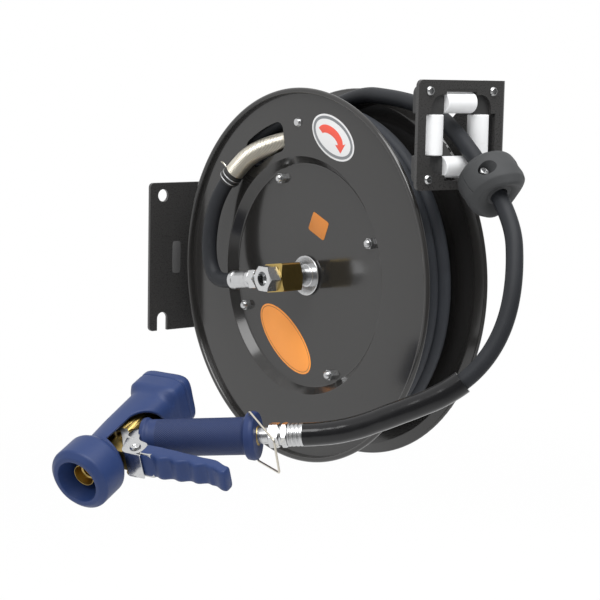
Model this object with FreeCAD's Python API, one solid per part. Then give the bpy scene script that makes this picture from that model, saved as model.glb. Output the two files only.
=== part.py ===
import FreeCAD, Part
import math
import os

V = FreeCAD.Vector

# Frame: X along the drum towards the arms, Y to the wall, Z up, origin on the wall. Millimetres, degrees.
WALL_GAP = 225.0
DRUM_FRONT = -49.0
DRUM_WIDTH = 85.2
RIM_RADIUS = 195.0
RIM_BEAD = 2.2
RIM_FLARE = 9.0
RING_DEPTH = 6.0
DISC_DEPTH = 15.0
RECESS_RADIUS = 126.2
DISC_RADIUS = 118.0
DRUM_SHEET = 2.0
SHEET_BEND = 2.0
CORE_RADIUS = 130.5
CORE_WALL = 2.0

# Slot in the front ring that lets the riser hose through
SLOT_INNER = 134.0
SLOT_OUTER = 166.0
SLOT_START = 102.5
SLOT_END = 127.0
SLOT_CORNER = 9.0

# Tie rods and their nuts
TIE_COUNT = 4
TIE_CIRCLE = 109.0
TIE_FIRST_ANGLE = 23.2
TIE_RADIUS = 6.0
TIE_THREAD = 3.0
TIE_STANDOUT = 7.0
NUT_FLATS = 10.0
NUT_HEIGHT = 5.0
ACORN_DOME = 4.7
RING_SCREW_CIRCLE = 161.3
RING_SCREW_ANGLE = 93.2
RING_SCREW_HEAD = 5.0

# Spindle, bearings and spring
SPINDLE_RADIUS = 9.5
SPINDLE_REAR = 72.0
SHOULDER_RADIUS = 15.0
RUNNING_FIT = 0.05
HOLE_CLEARANCE = 0.2
SEAT_GAP = 0.3
BEARING_FLANGE = 20.0
BEARING_FLANGE_THICK = 2.0
BEARING_SLEEVE = 13.0
BEARING_REACH = 8.0
BEARING_RECESS = 14.5
BEARING_RECESS_DEPTH = 1.2
ARBOR_RADIUS = 21.0
SPRING_STRIP = 1.2
SPRING_WIDTH = 40.0
SPRING_INNER = 21.5
SPRING_HALF_TURNS = 13
NUT_SPINDLE_FLATS = 30.0
NUT_SPINDLE_HEIGHT = 10.0
WASHER_RADIUS = 18.0
WASHER_THICK = 2.5

# Ratchet and pawl
RATCHET_RADIUS = 60.0
RATCHET_THICK = 5.0
RATCHET_HUB = 30.0
RATCHET_BEYOND_RIM = 0.7
NOTCH_COUNT = 8
NOTCH_AHEAD = 8.0
NOTCH_BEHIND = 16.0
NOTCH_DEPTH = 8.0
PAWL_PIVOT_CIRCLE = 85.0
PAWL_PIVOT_ANGLE = 205.0
PAWL_TIP_CIRCLE = 65.0
PAWL_TIP_ANGLE = 180.0
PAWL_PIVOT_BOSS = 8.0
PAWL_TIP_RADIUS = 3.5
PAWL_THICK = 4.4
PAWL_PIN_RADIUS = 4.0
PAWL_PIN_HEAD = 6.5
PAWL_PIN_HEAD_THICK = 1.6
PAWL_PIN_SHOULDER = 7.0
PAWL_SPRING_WIRE = 0.6
PAWL_SPRING_TURNS = 3
PAWL_SPRING_PITCH = 2.6

# Wall plate and arms
PLATE_WIDTH = 164.0
PLATE_HEIGHT = 170.0
ARM_SHEET = 4.0
PLATE_CORNER = 5.0
MOUNT_SPACING = 128.0
MOUNT_HOLE_RADIUS = 7.0
MOUNT_HOLE_Z = 70.5
MOUNT_SLOT_Z = -71.0
PEDESTAL_X = 50.5
PEDESTAL_HALF = 55.0
PEDESTAL_HUB = 42.0
PEDESTAL_FLANGE = 15.0
GUIDE_HUB = 38.0

# Roller guide
GUIDE_FRONT_Y = -425.0
GUIDE_LEFT_X = -70.0
GUIDE_CENTRE_X = -12.5
GUIDE_CENTRE_Z = 156.0
GUIDE_HEIGHT = 105.0
GUIDE_CORNER = 6.0
WINDOW_HALF_X = 40.5
WINDOW_HALF_Z = 38.5
WINDOW_CORNER = 14.0
ROLLER_RADIUS = 10.5
ROLLER_LENGTH = 39.0
ROLLER_OFFSET = 31.0
ROLLER_BEHIND = 8.0
ROLLER_NOTCH = 16.0
ROLLER_EDGE = 1.2
PIN_RADIUS = 3.0
PIN_GRIP = 6.0
HOLDER_START = 20.0
HOLDER_END = 47.0
HOLDER_DEPTH = 15.0
HOLDER_CORNER = 8.0
GUIDE_SCREW_X = 42.8
GUIDE_SCREW_Z = 42.0
GUIDE_SCREW_RADIUS = 2.5
GUIDE_SCREW_HEAD = 5.0
GUIDE_SCREW_HEAD_THICK = 2.6
GUIDE_SCREW_RECESS = 4.8
GUIDE_SCREW_RECESS_DEPTH = 1.8

# Hose on the drum
HOSE_RADIUS = 8.25
WIND_RADIUS = 171.0
LANE_PITCH = 17.4
LANE_FIRST = 16.8
WIND_TURNS = 2
WIND_START_ANGLE = 265.0
LEAVE_ANGLE = 117.0
LAST_LANE = 68.5
POCKET_START = 86.0
POCKET_END = 131.0
POCKET_DEPTH = 43.0

# Water inlet and swivel; distances are measured from the rim's front plane towards the viewer
SWIVEL_ANGLE = 188.0
BLOCK_SIDE = 29.4
BLOCK_REAR = 3.4
BLOCK_LENGTH = 28.3
BLOCK_CHAMFER = 2.5
OUTLET_REACH = 17.5
NOSE_RADIUS = 8.0
NOSE_GRIP = 5.3
CHANNEL_RADIUS = 5.0
SEAL_WIDTH = 2.6
SEAL_DEPTH = 1.5
PORT_FLATS = 25.4
PORT_LENGTH = 14.3
PORT_BORE = 7.5
OUTLET_RADIUS = 7.0
OUTLET_NUT_FLATS = 19.0
FERRULE_RADIUS = 10.2
FERRULE_START = 54.4
FERRULE_END = 95.8
GUARD_RADIUS = 9.8
GUARD_WIRE = 1.1
GUARD_CURLS = 22
COLLAR_LENGTH = 10.0
COLLAR_WALL = 1.9
CLAMP_LENGTH = 12.0
CLAMP_WALL = 3.6
CLAMP_FOOT = 10.0

# Ball stop, sleeve and hose end
BALL_CENTRE = V(-8.5, -465, 111)
BALL_RADIUS = 31.0
BALL_LENGTH = 47.0
BALL_EDGE = 9.0
BALL_DISH_RADIUS = 20.0
BALL_DISH_DEPTH = 9.0
BALL_SCREW_OFFSET = 20.0
BALL_POCKET_RADIUS = 6.0
BALL_SCREW_RADIUS = 2.5
SLEEVE_WALL = 3.0
SLEEVE_CORNERS = 3
END_FERRULE_RADIUS = 11.0
END_FERRULE_LENGTH = 15.3
END_HEX_FLATS = 22.0
END_HEX_LENGTH = 17.7
END_NECK_RADIUS = 8.0
END_NECK_LENGTH = 11.0
WATER_BORE = 5.0

# Spray gun: hose end of the handle, and the two directions of its body
GUN_END = V(-201.3, -357, -128.8)
HANDLE_DIRECTION = V(0.611, -0.7867, 0.0885)
BARREL_DIRECTION = V(-0.8758, -0.308, -0.3716)
HANDLE_LENGTH = 118.7
HANDLE_START = 16.4
GRIP_RADIUS = 18.0
GRIP_FRONT_COLLAR = 21.0
GRIP_END_COLLAR = 24.0
GRIP_COLLAR_LENGTH = 11.0
HANDLE_TUBE = 9.5
BARREL_RADIUS = 12.0
BARREL_FRONT = 44.0
BARREL_REAR = 62.0
COVER_FRONT = 38.0
COVER_REAR = 72.0
COVER_FRONT_RADIUS = 22.5
COVER_REAR_RADIUS = 25.0
COVER_WALL = 3.5
WINDOW_FRONT = 34.5
WINDOW_REAR = 38.0
WINDOW_HEIGHT = 5.0
REAR_BUMPER_START = 70.0
REAR_BUMPER_LENGTH = 32.0
REAR_BUMPER_HALF_H = 29.0
REAR_BUMPER_HALF_W = 27.0
BUMPER_RADIUS = 33.0
BUMPER_START = 38.3
BUMPER_END = 76.0
BUMPER_APERTURE = 21.5
BUMPER_THROAT = 14.5
BUMPER_CUP_DEPTH = 30.0
NOZZLE_RADIUS = 11.0
NOZZLE_LENGTH = 12.0
NOZZLE_BORE = 5.0
LEVER_PIVOT_F = 27.0
LEVER_PIVOT_H = 36.0
LEVER_PIN_RADIUS = 3.0
LEVER_PIN_HEAD = 5.5
LEVER_LUG = 6.7
LEVER_EAR_GAP = 13.0
LEVER_EAR_SHEET = 2.2
LEVER_GRIP_HALF = 9.5
STEM_RADIUS = 3.0
STEM_REAR = 50.0
STEM_FRONT = 22.0
STEM_PIN_F = 9.5
STEM_PIN_RADIUS = 2.0
STEM_TRAVEL = 10.1
BAIL_WIRE = 1.1
BAIL_PIVOT_S = 129.6
BAIL_HALF = 22.0
BAIL_REACH_S = 30.0
BAIL_REACH_P = 37.0

# Corners of the hose's routes; the riser's are measured from the rim's front plane and the drum axis
RISER_LEAD = 18.1
RISER_CORNERS = [
    (-17.3, 126, -3),
    (-17, 131, 17),
    (-16, 130.5, 38),
    (-15, 127, 57),
    (-13, 119.5, 77),
    (-10, 105.5, 97.2),
    (-1, 66, 135.1),
    (29, 20.5, 144.5),
]
FREE_CORNERS = [
    (19.5, -227, 192.94),
    (7, -319, 188.5),
    (1, -371, 178.5),
    (-3.5, -417.5, 153.4),
    (-11.8, -496.3, 83),
    (-30.4, -519.7, 30),
    (-46.8, -524.6, -16.3),
    (-67.8, -515.3, -53.7),
    (-92.6, -493.6, -80.1),
    (-119.4, -462.5, -98.1),
]
FREE_END_RUN = 36.0
ARC_SHARE = 0.45

X_DIR = V(1, 0, 0)
Y_DIR = V(0, 1, 0)
Z_DIR = V(0, 0, 1)
AXIS = V(0, -WALL_GAP, 0)
DRUM_REAR = DRUM_FRONT + DRUM_WIDTH
FRONT_RING_INNER = DRUM_FRONT + RING_DEPTH + DRUM_SHEET
REAR_RING_INNER = DRUM_REAR - RING_DEPTH - DRUM_SHEET
FRONT_DISC = DRUM_FRONT + DISC_DEPTH
REAR_DISC = DRUM_REAR - DISC_DEPTH
RATCHET_START = DRUM_REAR + RATCHET_BEYOND_RIM
RATCHET_END = RATCHET_START + RATCHET_THICK
ARM_INNER = PEDESTAL_X - ARM_SHEET


# Small geometry helpers

def unit(vector):
    return V(vector).normalize()


def on_drum(x, radius, angle):
    """Point at an angle round the drum: 0 away from the wall, 90 up."""
    turn = math.radians(angle)
    return V(x, AXIS.y - radius * math.cos(turn), radius * math.sin(turn))


def from_rim(point):
    """Row frame position of a point given from the rim's front plane and the drum axis."""
    return V(point[0] + DRUM_FRONT, point[1] + AXIS.y, point[2])


def rod(start, end, radius):
    return Part.makeCylinder(radius, (end - start).Length, start, end - start)


def pipe(start, end, outer, inner):
    return rod(start, end, outer).cut(rod(start, end, inner))


def along_x(x0, x1, radius, centre=AXIS):
    return rod(V(x0, centre.y, centre.z), V(x1, centre.y, centre.z), radius)


def block(low, high):
    size = high - low
    return Part.makeBox(size.x, size.y, size.z, low)


def fuse(shapes):
    return shapes[0].multiFuse(shapes[1:]).removeSplitter()


def outline(corners, origin, a_dir, b_dir):
    """Closed wire through corners (a, b, radius), each rounded by its own radius."""
    cuts = []
    places = [origin + a_dir * c[0] + b_dir * c[1] for c in corners]
    for i, place in enumerate(places):
        radius = corners[i][2]
        before = unit(places[i - 1] - place)
        after = unit(places[(i + 1) % len(places)] - place)
        if radius == 0:
            cuts.append((place, None, place))
            continue
        half = before.getAngle(after) / 2
        inward = unit(before + after)
        centre = place + inward * (radius / math.sin(half))
        back = radius / math.tan(half)
        cuts.append((place + before * back, centre - inward * radius, place + after * back))
    edges = []
    for i, (start, middle, end) in enumerate(cuts):
        if middle is not None:
            edges.append(Part.Arc(start, middle, end).toShape())
        following = cuts[(i + 1) % len(cuts)][0]
        if (following - end).Length > 1e-6:
            edges.append(Part.makeLine(end, following))
    return Part.Wire(edges)


def prism(corners, origin, a_dir, b_dir, sweep):
    return Part.Face(outline(corners, origin, a_dir, b_dir)).extrude(sweep)


def turned(corners, start, direction):
    """Solid of revolution of (distance, radius, rounding) corners about a line."""
    axis = unit(direction)
    across = unit(axis.cross(Z_DIR)) if abs(axis.z) < 0.9 else unit(axis.cross(X_DIR))
    return Part.Face(outline(corners, start, axis, across)).revolve(start, axis, 360)


def sheet_section(path, thickness, bend):
    """Corners of a bent sheet: a path and the same path set off to its left, bends rounded."""
    near = []
    far = []
    for i, point in enumerate(path):
        normals = []
        turn = 0
        if i > 0:
            into = unit(point - path[i - 1])
            normals.append(V(-into.y, into.x, 0))
        if i < len(path) - 1:
            out = unit(path[i + 1] - point)
            normals.append(V(-out.y, out.x, 0))
        shift = normals[0]
        if len(normals) == 2:
            shift = (normals[0] + normals[1]) * (1 / (1 + normals[0].dot(normals[1])))
            turn = normals[0].cross(normals[1]).z
        inside = bend if turn else 0
        outside = bend + thickness if turn else 0
        away = point + shift * thickness
        near.append((point.x, point.y, outside if turn > 0 else inside))
        far.append((away.x, away.y, inside if turn > 0 else outside))
    return near + far[::-1]


def hexagon(start, direction, flats, length, turn=0.0):
    """Hexagonal prism of a width across flats, turned about its own axis."""
    axis = unit(direction)
    across = unit(axis.cross(Z_DIR)) if abs(axis.z) < 0.9 else unit(axis.cross(X_DIR))
    other = axis.cross(across)
    reach = flats / 2 / math.cos(math.radians(30))
    corners = []
    for k in range(6):
        angle = math.radians(60 * k + turn)
        corners.append((reach * math.cos(angle), reach * math.sin(angle), 0))
    return prism(corners, start, across, other, axis * length)


def chamfered_hexagon(start, direction, flats, length):
    """Hexagonal prism whose corners are turned down at both ends, as on a nut."""
    reach = flats / 2 / math.cos(math.radians(30))
    drop = reach - flats / 2
    cone = turned([(0, 0, 0), (0, flats / 2, 0), (drop * 0.6, reach, 0), (length - drop * 0.6, reach, 0),
                   (length, flats / 2, 0), (length, 0, 0)], start, direction)
    return hexagon(start, direction, flats, length).common(cone)


def link(centre_a, radius_a, centre_b, radius_b, sweep):
    """Flat plate round two circles and their outer tangents, swept along a normal."""
    between = centre_b - centre_a
    normal = unit(sweep)
    along = unit(between)
    side = normal.cross(along)
    lean = math.acos((radius_a - radius_b) / between.Length)
    corners = []
    for centre, radius, sign in ((centre_a, radius_a, 1), (centre_b, radius_b, 1),
                                 (centre_b, radius_b, -1), (centre_a, radius_a, -1)):
        corners.append(centre + along * (radius * math.cos(lean)) + side * (sign * radius * math.sin(lean)))
    plate = Part.Face(Part.makePolygon(corners + corners[:1])).extrude(sweep)
    ends = [Part.makeCylinder(r, sweep.Length, c, sweep) for c, r in ((centre_a, radius_a), (centre_b, radius_b))]
    return fuse([plate] + ends)


# Routes: straight runs joined by tangent arcs

def route(points):
    """Segments of a path through the corners: each arc takes ARC_SHARE of its shorter run."""
    segments = []
    start = points[0]
    for i in range(1, len(points) - 1):
        into = points[i] - points[i - 1]
        out = points[i + 1] - points[i]
        turn = into.getAngle(out)
        cut = ARC_SHARE * min(into.Length, out.Length)
        radius = cut / math.tan(turn / 2)
        begin = points[i] - unit(into) * cut
        finish = points[i] + unit(out) * cut
        centre = points[i] + unit(unit(out) - unit(into)) * (radius / math.cos(turn / 2))
        segments.append(("run", start, begin))
        segments.append(("arc", begin, finish, centre, radius, turn))
        start = finish
    segments.append(("run", start, points[-1]))
    return segments


def segment_length(segment):
    if segment[0] == "run":
        return (segment[2] - segment[1]).Length
    return segment[4] * segment[5]


def route_length(segments):
    return sum(segment_length(s) for s in segments)


def route_wire(segments):
    edges = []
    for segment in segments:
        if segment[0] == "run":
            edges.append(Part.LineSegment(segment[1], segment[2]).toShape())
            continue
        centre = segment[3]
        middle = centre + unit((segment[1] + segment[2]) * 0.5 - centre) * segment[4]
        edges.append(Part.Arc(segment[1], middle, segment[2]).toShape())
    return Part.Wire(edges)


def station(segments, distance):
    """Point and direction at a distance along a route."""
    for segment in segments:
        length = segment_length(segment)
        if distance <= length or segment is segments[-1]:
            break
        distance -= length
    if segment[0] == "run":
        direction = unit(segment[2] - segment[1])
        return segment[1] + direction * distance, direction
    arm = segment[1] - segment[3]
    normal = unit(arm.cross(segment[2] - segment[3]))
    swing = distance / segment[4]
    turned_arm = arm * math.cos(swing) + normal.cross(arm) * math.sin(swing)
    return segment[3] + turned_arm, unit(normal.cross(turned_arm))


def part_route(segments, begin, end):
    """Segments of a route between two distances that lie on its runs."""
    kept = []
    passed = 0.0
    for segment in segments:
        length = segment_length(segment)
        low = max(begin - passed, 0)
        high = min(end - passed, length)
        if high > low + 1e-6:
            if segment[0] == "run":
                direction = unit(segment[2] - segment[1])
                kept.append(("run", segment[1] + direction * low, segment[1] + direction * high))
            else:
                kept.append(segment)
        passed += length
    return kept


def sweep_circle(wire, start, direction, radius):
    circle = Part.Wire(Part.makeCircle(radius, start, direction))
    return wire.makePipeShell([circle], True, False)


def tube(name, segments, radius, bore=0.0):
    """Round tube along a route; prints its volume against section times length."""
    wire = route_wire(segments)
    start, direction = station(segments, 0)
    solid = sweep_circle(wire, start, direction, radius)
    expected = math.pi * radius ** 2 * route_length(segments)
    print(f"{name}: length {route_length(segments):.1f}, volume ratio {solid.Volume / expected:.5f}")
    if bore:
        solid = solid.cut(sweep_circle(wire, start, direction, bore))
    return solid


def print_radii(name, segments):
    radii = [f"{s[4]:.1f}" for s in segments if s[0] == "arc"]
    print(f"{name}: arc radii {', '.join(radii)}")


def tangent_arc(start, tangent, end):
    """Arc from a point along its tangent to another point."""
    chord = end - start
    across = chord - tangent * chord.dot(tangent)
    if across.Length < 1e-9:
        return Part.LineSegment(start, end).toShape()
    normal = unit(across)
    radius = chord.dot(chord) / (2 * chord.dot(normal))
    centre = start + normal * radius
    middle = centre + unit((start + end) * 0.5 - centre) * radius
    return Part.Arc(start, middle, end).toShape()


def biarc(start, t0, end, t1):
    """Two tangent arcs between two points with given directions."""
    chord = end - start
    both = t0 + t1
    spread = 2 * (1 - t0.dot(t1))
    reach = (-chord.dot(both) + math.sqrt(chord.dot(both) ** 2 + spread * chord.dot(chord))) / spread
    joint = (start + end + (t0 - t1) * reach) * 0.5
    first = tangent_arc(start, t0, joint)
    second = tangent_arc(end, t1 * -1, joint)
    return first, second


def wind(curve, steps):
    """Edges of a curve given as a function of 0..steps, a biarc on each step."""
    small = 1e-4
    edges = []
    for k in range(steps):
        ends = []
        for place in (k, k + 1):
            tangent = unit(curve(place + small) - curve(place - small))
            ends.append((curve(place), tangent))
        edges.extend(biarc(ends[0][0], ends[0][1], ends[1][0], ends[1][1]))
    return edges


def least_gap(name, curve, steps, spacing, wire_radius):
    """Prints the least gap of a wound tube to itself, between points half a turn or more apart."""
    count = steps * 8
    points = [curve(k * steps / count) for k in range(count + 1)]
    apart = int(spacing * count / steps)
    least = min((points[i] - points[j]).Length for i in range(len(points)) for j in range(i + apart, len(points)))
    print(f"{name}: least gap to itself {least - 2 * wire_radius:.2f}")


def polygon_tube(edges, start, direction, radius, sides):
    """Wire of a few flat sides swept along arcs."""
    across = unit(direction.cross(X_DIR)) if abs(direction.x) < 0.9 else unit(direction.cross(Z_DIR))
    other = direction.cross(across)
    corners = []
    for k in range(sides):
        angle = 2 * math.pi * k / sides
        corners.append(start + across * (radius * math.cos(angle)) + other * (radius * math.sin(angle)))
    return Part.Wire(edges).makePipeShell([Part.makePolygon(corners + corners[:1])], True, False)


def save(name, shape):
    """Writes one sub-part; a list is a group of separate solids."""
    if isinstance(shape, list):
        shape = Part.makeCompound(shape)
    if not shape.isValid():
        print(f"{name}: not valid")
    if shape.Volume <= 0:
        print(f"{name}: volume {shape.Volume:.1f}")
    shape.exportStep(os.path.join("parts", name + ".step"))


# Wall plate and arms

def wall_plate():
    half = PLATE_WIDTH / 2
    top = PLATE_HEIGHT / 2
    corners = [(-half, -top, PLATE_CORNER), (half, -top, PLATE_CORNER), (half, top, PLATE_CORNER),
               (-half, top, PLATE_CORNER)]
    plate = prism(corners, V(0, 0, 0), X_DIR, Z_DIR, V(0, -ARM_SHEET, 0))
    for side in (-1, 1):
        x = side * MOUNT_SPACING / 2
        plate = plate.cut(rod(V(x, 1, MOUNT_HOLE_Z), V(x, -ARM_SHEET - 1, MOUNT_HOLE_Z), MOUNT_HOLE_RADIUS))
        slot_end = rod(V(x, 1, MOUNT_SLOT_Z), V(x, -ARM_SHEET - 1, MOUNT_SLOT_Z), MOUNT_HOLE_RADIUS)
        mouth = block(V(x - MOUNT_HOLE_RADIUS, -ARM_SHEET - 1, -top - 1), V(x + MOUNT_HOLE_RADIUS, 1, MOUNT_SLOT_Z))
        plate = plate.cut(fuse([slot_end, mouth]))
    return plate


def hub_tangent(target, radius, side):
    """Direction from the drum axis to where a line from a target point touches a hub circle."""
    reach = target - AXIS
    lean = math.acos(radius / reach.Length)
    base = math.atan2(reach.z, reach.y)
    return V(0, math.cos(base + side * lean), math.sin(base + side * lean))


def hub_plate(x, hub, upper, lower, upper_side, inset, edge_y, thick):
    """Plate from a hub circle on the drum axis to two edge points, its outline drawn in by an inset."""
    touch = []
    ends = []
    for target, side in ((upper, upper_side), (lower, -upper_side)):
        normal = hub_tangent(target, hub, side)
        foot = AXIS + normal * (hub - inset)
        run = unit(target - (AXIS + normal * hub))
        touch.append(foot)
        ends.append(foot + run * ((edge_y - foot.y) / run.y))
    sheet = Part.Face(Part.makePolygon([touch[0], ends[0], ends[1], touch[1], touch[0]]))
    sheet.translate(V(x, 0, 0))
    return fuse([sheet.extrude(V(thick, 0, 0)), along_x(x, x + thick, hub - inset)])


def pedestal_arm():
    upper = V(0, -ARM_SHEET, PEDESTAL_HALF)
    lower = V(0, -ARM_SHEET, -PEDESTAL_HALF)
    depth = ARM_SHEET + PEDESTAL_FLANGE
    shell = hub_plate(PEDESTAL_X, PEDESTAL_HUB, upper, lower, 1, 0, -ARM_SHEET, depth)
    pan = hub_plate(PEDESTAL_X + ARM_SHEET, PEDESTAL_HUB, upper, lower, 1, ARM_SHEET, 0, depth)
    foot = block(V(PEDESTAL_X, -2 * ARM_SHEET, -PEDESTAL_HALF + ARM_SHEET),
                 V(PLATE_WIDTH / 2 - PLATE_CORNER, -ARM_SHEET, PEDESTAL_HALF - ARM_SHEET))
    arm = fuse([shell.cut(pan), foot])
    for centre, radius in ((AXIS, SPINDLE_RADIUS), (pawl_pivot(), PAWL_PIN_RADIUS)):
        arm = arm.cut(along_x(PEDESTAL_X - 1, PEDESTAL_X + depth, radius + RUNNING_FIT, centre))
    return arm


def guide_arm():
    low = GUIDE_CENTRE_Z - GUIDE_HEIGHT / 2
    high = GUIDE_CENTRE_Z + GUIDE_HEIGHT / 2
    turn_back = GUIDE_FRONT_Y + 30
    path = [V(GUIDE_LEFT_X, GUIDE_FRONT_Y, 0), V(PEDESTAL_X, GUIDE_FRONT_Y, 0), V(PEDESTAL_X, turn_back, 0)]
    bent = prism(sheet_section(path, ARM_SHEET, 3.0), V(0, 0, low), X_DIR, Y_DIR, V(0, 0, GUIDE_HEIGHT))
    side = hub_plate(ARM_INNER, GUIDE_HUB, V(0, turn_back, high), V(0, turn_back, low), -1, 0, turn_back, ARM_SHEET)
    arm = fuse([bent, side])
    corner = []
    for edge in arm.Edges:
        mid = edge.CenterOfMass
        if abs(mid.x - GUIDE_LEFT_X) < 0.1 and abs(edge.Length - ARM_SHEET) < 0.1:
            corner.append(edge)
    arm = arm.makeFillet(GUIDE_CORNER, corner)
    centre = V(GUIDE_CENTRE_X, GUIDE_FRONT_Y - 1, GUIDE_CENTRE_Z)
    through = V(0, ARM_SHEET + 2, 0)
    window = [(-WINDOW_HALF_X, -WINDOW_HALF_Z), (WINDOW_HALF_X, -WINDOW_HALF_Z), (WINDOW_HALF_X, WINDOW_HALF_Z),
              (-WINDOW_HALF_X, WINDOW_HALF_Z)]
    cuts = [prism([(a, b, WINDOW_CORNER) for a, b in window], centre, X_DIR, Z_DIR, through)]
    across = ROLLER_OFFSET + ROLLER_NOTCH
    half = ROLLER_LENGTH / 2 + 1
    for a, b in ((across, half), (half, across - 3)):
        cuts.append(prism([(-a, -b, 0), (a, -b, 0), (a, b, 0), (-a, b, 0)], centre, X_DIR, Z_DIR, through))
    for place in screw_places():
        cuts.append(rod(V(place.x, GUIDE_FRONT_Y - 1, place.z), V(place.x, GUIDE_FRONT_Y + 6, place.z),
                        GUIDE_SCREW_RADIUS + RUNNING_FIT))
    cuts.append(along_x(ARM_INNER - 1, PEDESTAL_X + 1, SPINDLE_RADIUS + RUNNING_FIT))
    for shape in cuts:
        arm = arm.cut(shape)
    return arm


# Roller guide

def screw_places():
    return [V(GUIDE_CENTRE_X + sx * GUIDE_SCREW_X, GUIDE_FRONT_Y, GUIDE_CENTRE_Z + sz * GUIDE_SCREW_Z)
            for sx in (-1, 1) for sz in (-1, 1)]


def roller_lines():
    """Name, centre and direction of each roller."""
    centre = V(GUIDE_CENTRE_X, GUIDE_FRONT_Y + ROLLER_BEHIND, GUIDE_CENTRE_Z)
    return [("top", centre + Z_DIR * ROLLER_OFFSET, X_DIR), ("bottom", centre - Z_DIR * ROLLER_OFFSET, X_DIR),
            ("left", centre - X_DIR * ROLLER_OFFSET, Z_DIR), ("right", centre + X_DIR * ROLLER_OFFSET, Z_DIR)]


def roller(centre, direction):
    half = ROLLER_LENGTH / 2
    bore = PIN_RADIUS + RUNNING_FIT
    corners = [(-half, bore, 0), (half, bore, 0), (half, ROLLER_RADIUS, ROLLER_EDGE),
               (-half, ROLLER_RADIUS, ROLLER_EDGE)]
    return turned(corners, centre, direction)


def roller_pins():
    half = HOLDER_START + PIN_GRIP
    return [rod(c - d * half, c + d * half, PIN_RADIUS) for _, c, d in roller_lines()]


def corner_holders():
    holders = []
    front = GUIDE_FRONT_Y + ARM_SHEET
    span = HOLDER_END - HOLDER_START
    for sx in (-1, 1):
        for sz in (-1, 1):
            corners = [(0, 0, 2.0), (span, 0, 2.0), (span, span, HOLDER_CORNER), (0, span, 2.0)]
            start = V(GUIDE_CENTRE_X + sx * HOLDER_START, front, GUIDE_CENTRE_Z + sz * HOLDER_START)
            holder = prism(corners, start, X_DIR * sx, Z_DIR * sz, V(0, HOLDER_DEPTH, 0))
            for _, centre, direction in roller_lines():
                half = direction * (HOLDER_START + PIN_GRIP)
                holder = holder.cut(rod(centre - half, centre + half, PIN_RADIUS + RUNNING_FIT))
            for place in screw_places():
                holder = holder.cut(rod(place, place + Y_DIR * (HOLDER_DEPTH + 1), GUIDE_SCREW_RADIUS + RUNNING_FIT))
            holders.append(holder)
    return holders


def guide_screws():
    screws = []
    for place in screw_places():
        head = turned([(0, 0, 0), (0, GUIDE_SCREW_HEAD, 0.5), (-GUIDE_SCREW_HEAD_THICK, 3.4, 0.6),
                       (-GUIDE_SCREW_HEAD_THICK, 0, 0)], place, Y_DIR)
        screw = fuse([head, rod(place, place + Y_DIR * (HOLDER_DEPTH - 1), GUIDE_SCREW_RADIUS)])
        long = GUIDE_SCREW_RECESS / 2
        wide = GUIDE_SCREW_RECESS / 6
        front = place - Y_DIR * GUIDE_SCREW_HEAD_THICK
        for a, b in ((long, wide), (wide, long)):
            corners = [(-a, -b, 0), (a, -b, 0), (a, b, 0), (-a, b, 0)]
            screw = screw.cut(prism(corners, front, X_DIR, Z_DIR, Y_DIR * GUIDE_SCREW_RECESS_DEPTH))
        screws.append(screw)
    return screws


# Drum

def tie_angles():
    return [TIE_FIRST_ANGLE + 360 * k / TIE_COUNT for k in range(TIE_COUNT)]


def flange(rim_x, inward):
    """Pressed flange: rolled rim, flat ring and recessed disc."""
    hub = BEARING_SLEEVE + RUNNING_FIT
    path = [V(RIM_BEAD, RIM_RADIUS), V(RING_DEPTH, RIM_RADIUS - RIM_FLARE), V(RING_DEPTH, RECESS_RADIUS),
            V(DISC_DEPTH, DISC_RADIUS), V(DISC_DEPTH, hub)]
    start = V(rim_x, AXIS.y, 0)
    sheet = turned(sheet_section(path, DRUM_SHEET, SHEET_BEND), start, X_DIR * inward)
    bead = Part.makeTorus(RIM_RADIUS, RIM_BEAD, start + X_DIR * (inward * RIM_BEAD), X_DIR)
    shape = fuse([sheet, bead])
    for angle in tie_angles():
        place = on_drum(0, TIE_CIRCLE, angle)
        shape = shape.cut(along_x(rim_x, rim_x + inward * 2 * DISC_DEPTH, TIE_THREAD + HOLE_CLEARANCE, place))
    return shape


def front_flange():
    low = DRUM_FRONT + RING_DEPTH - 1
    high = FRONT_RING_INNER + 1
    ring = pipe(V(low, AXIS.y, 0), V(high, AXIS.y, 0), SLOT_OUTER, SLOT_INNER)
    far = 2 * SLOT_OUTER
    wedge = Part.makePolygon([V(low, AXIS.y, 0), on_drum(low, far, SLOT_START), on_drum(low, far, SLOT_END),
                              V(low, AXIS.y, 0)])
    sector = ring.common(Part.Face(wedge).extrude(V(high - low, 0, 0)))
    uprights = [e for e in sector.Edges if abs(abs(e.tangentAt(e.FirstParameter).x) - 1) < 1e-6]
    sector = sector.makeFillet(SLOT_CORNER, uprights)
    screw = on_drum(0, RING_SCREW_CIRCLE, RING_SCREW_ANGLE)
    hole = along_x(low, high, TIE_THREAD + RUNNING_FIT, screw)
    return flange(DRUM_FRONT, 1).cut(sector).cut(hole)


def rear_flange():
    return flange(DRUM_REAR, -1)


def drum_core():
    return pipe(V(FRONT_RING_INNER, AXIS.y, 0), V(REAR_RING_INNER, AXIS.y, 0), CORE_RADIUS, CORE_RADIUS - CORE_WALL)


def tie_rods():
    rods = []
    for angle in tie_angles():
        place = on_drum(0, TIE_CIRCLE, angle)
        body = along_x(FRONT_DISC + DRUM_SHEET, REAR_DISC - DRUM_SHEET, TIE_RADIUS, place)
        thread = along_x(FRONT_DISC - TIE_STANDOUT, REAR_DISC + TIE_STANDOUT - 1, TIE_THREAD, place)
        rods.append(fuse([body, thread]))
    return rods


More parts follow.
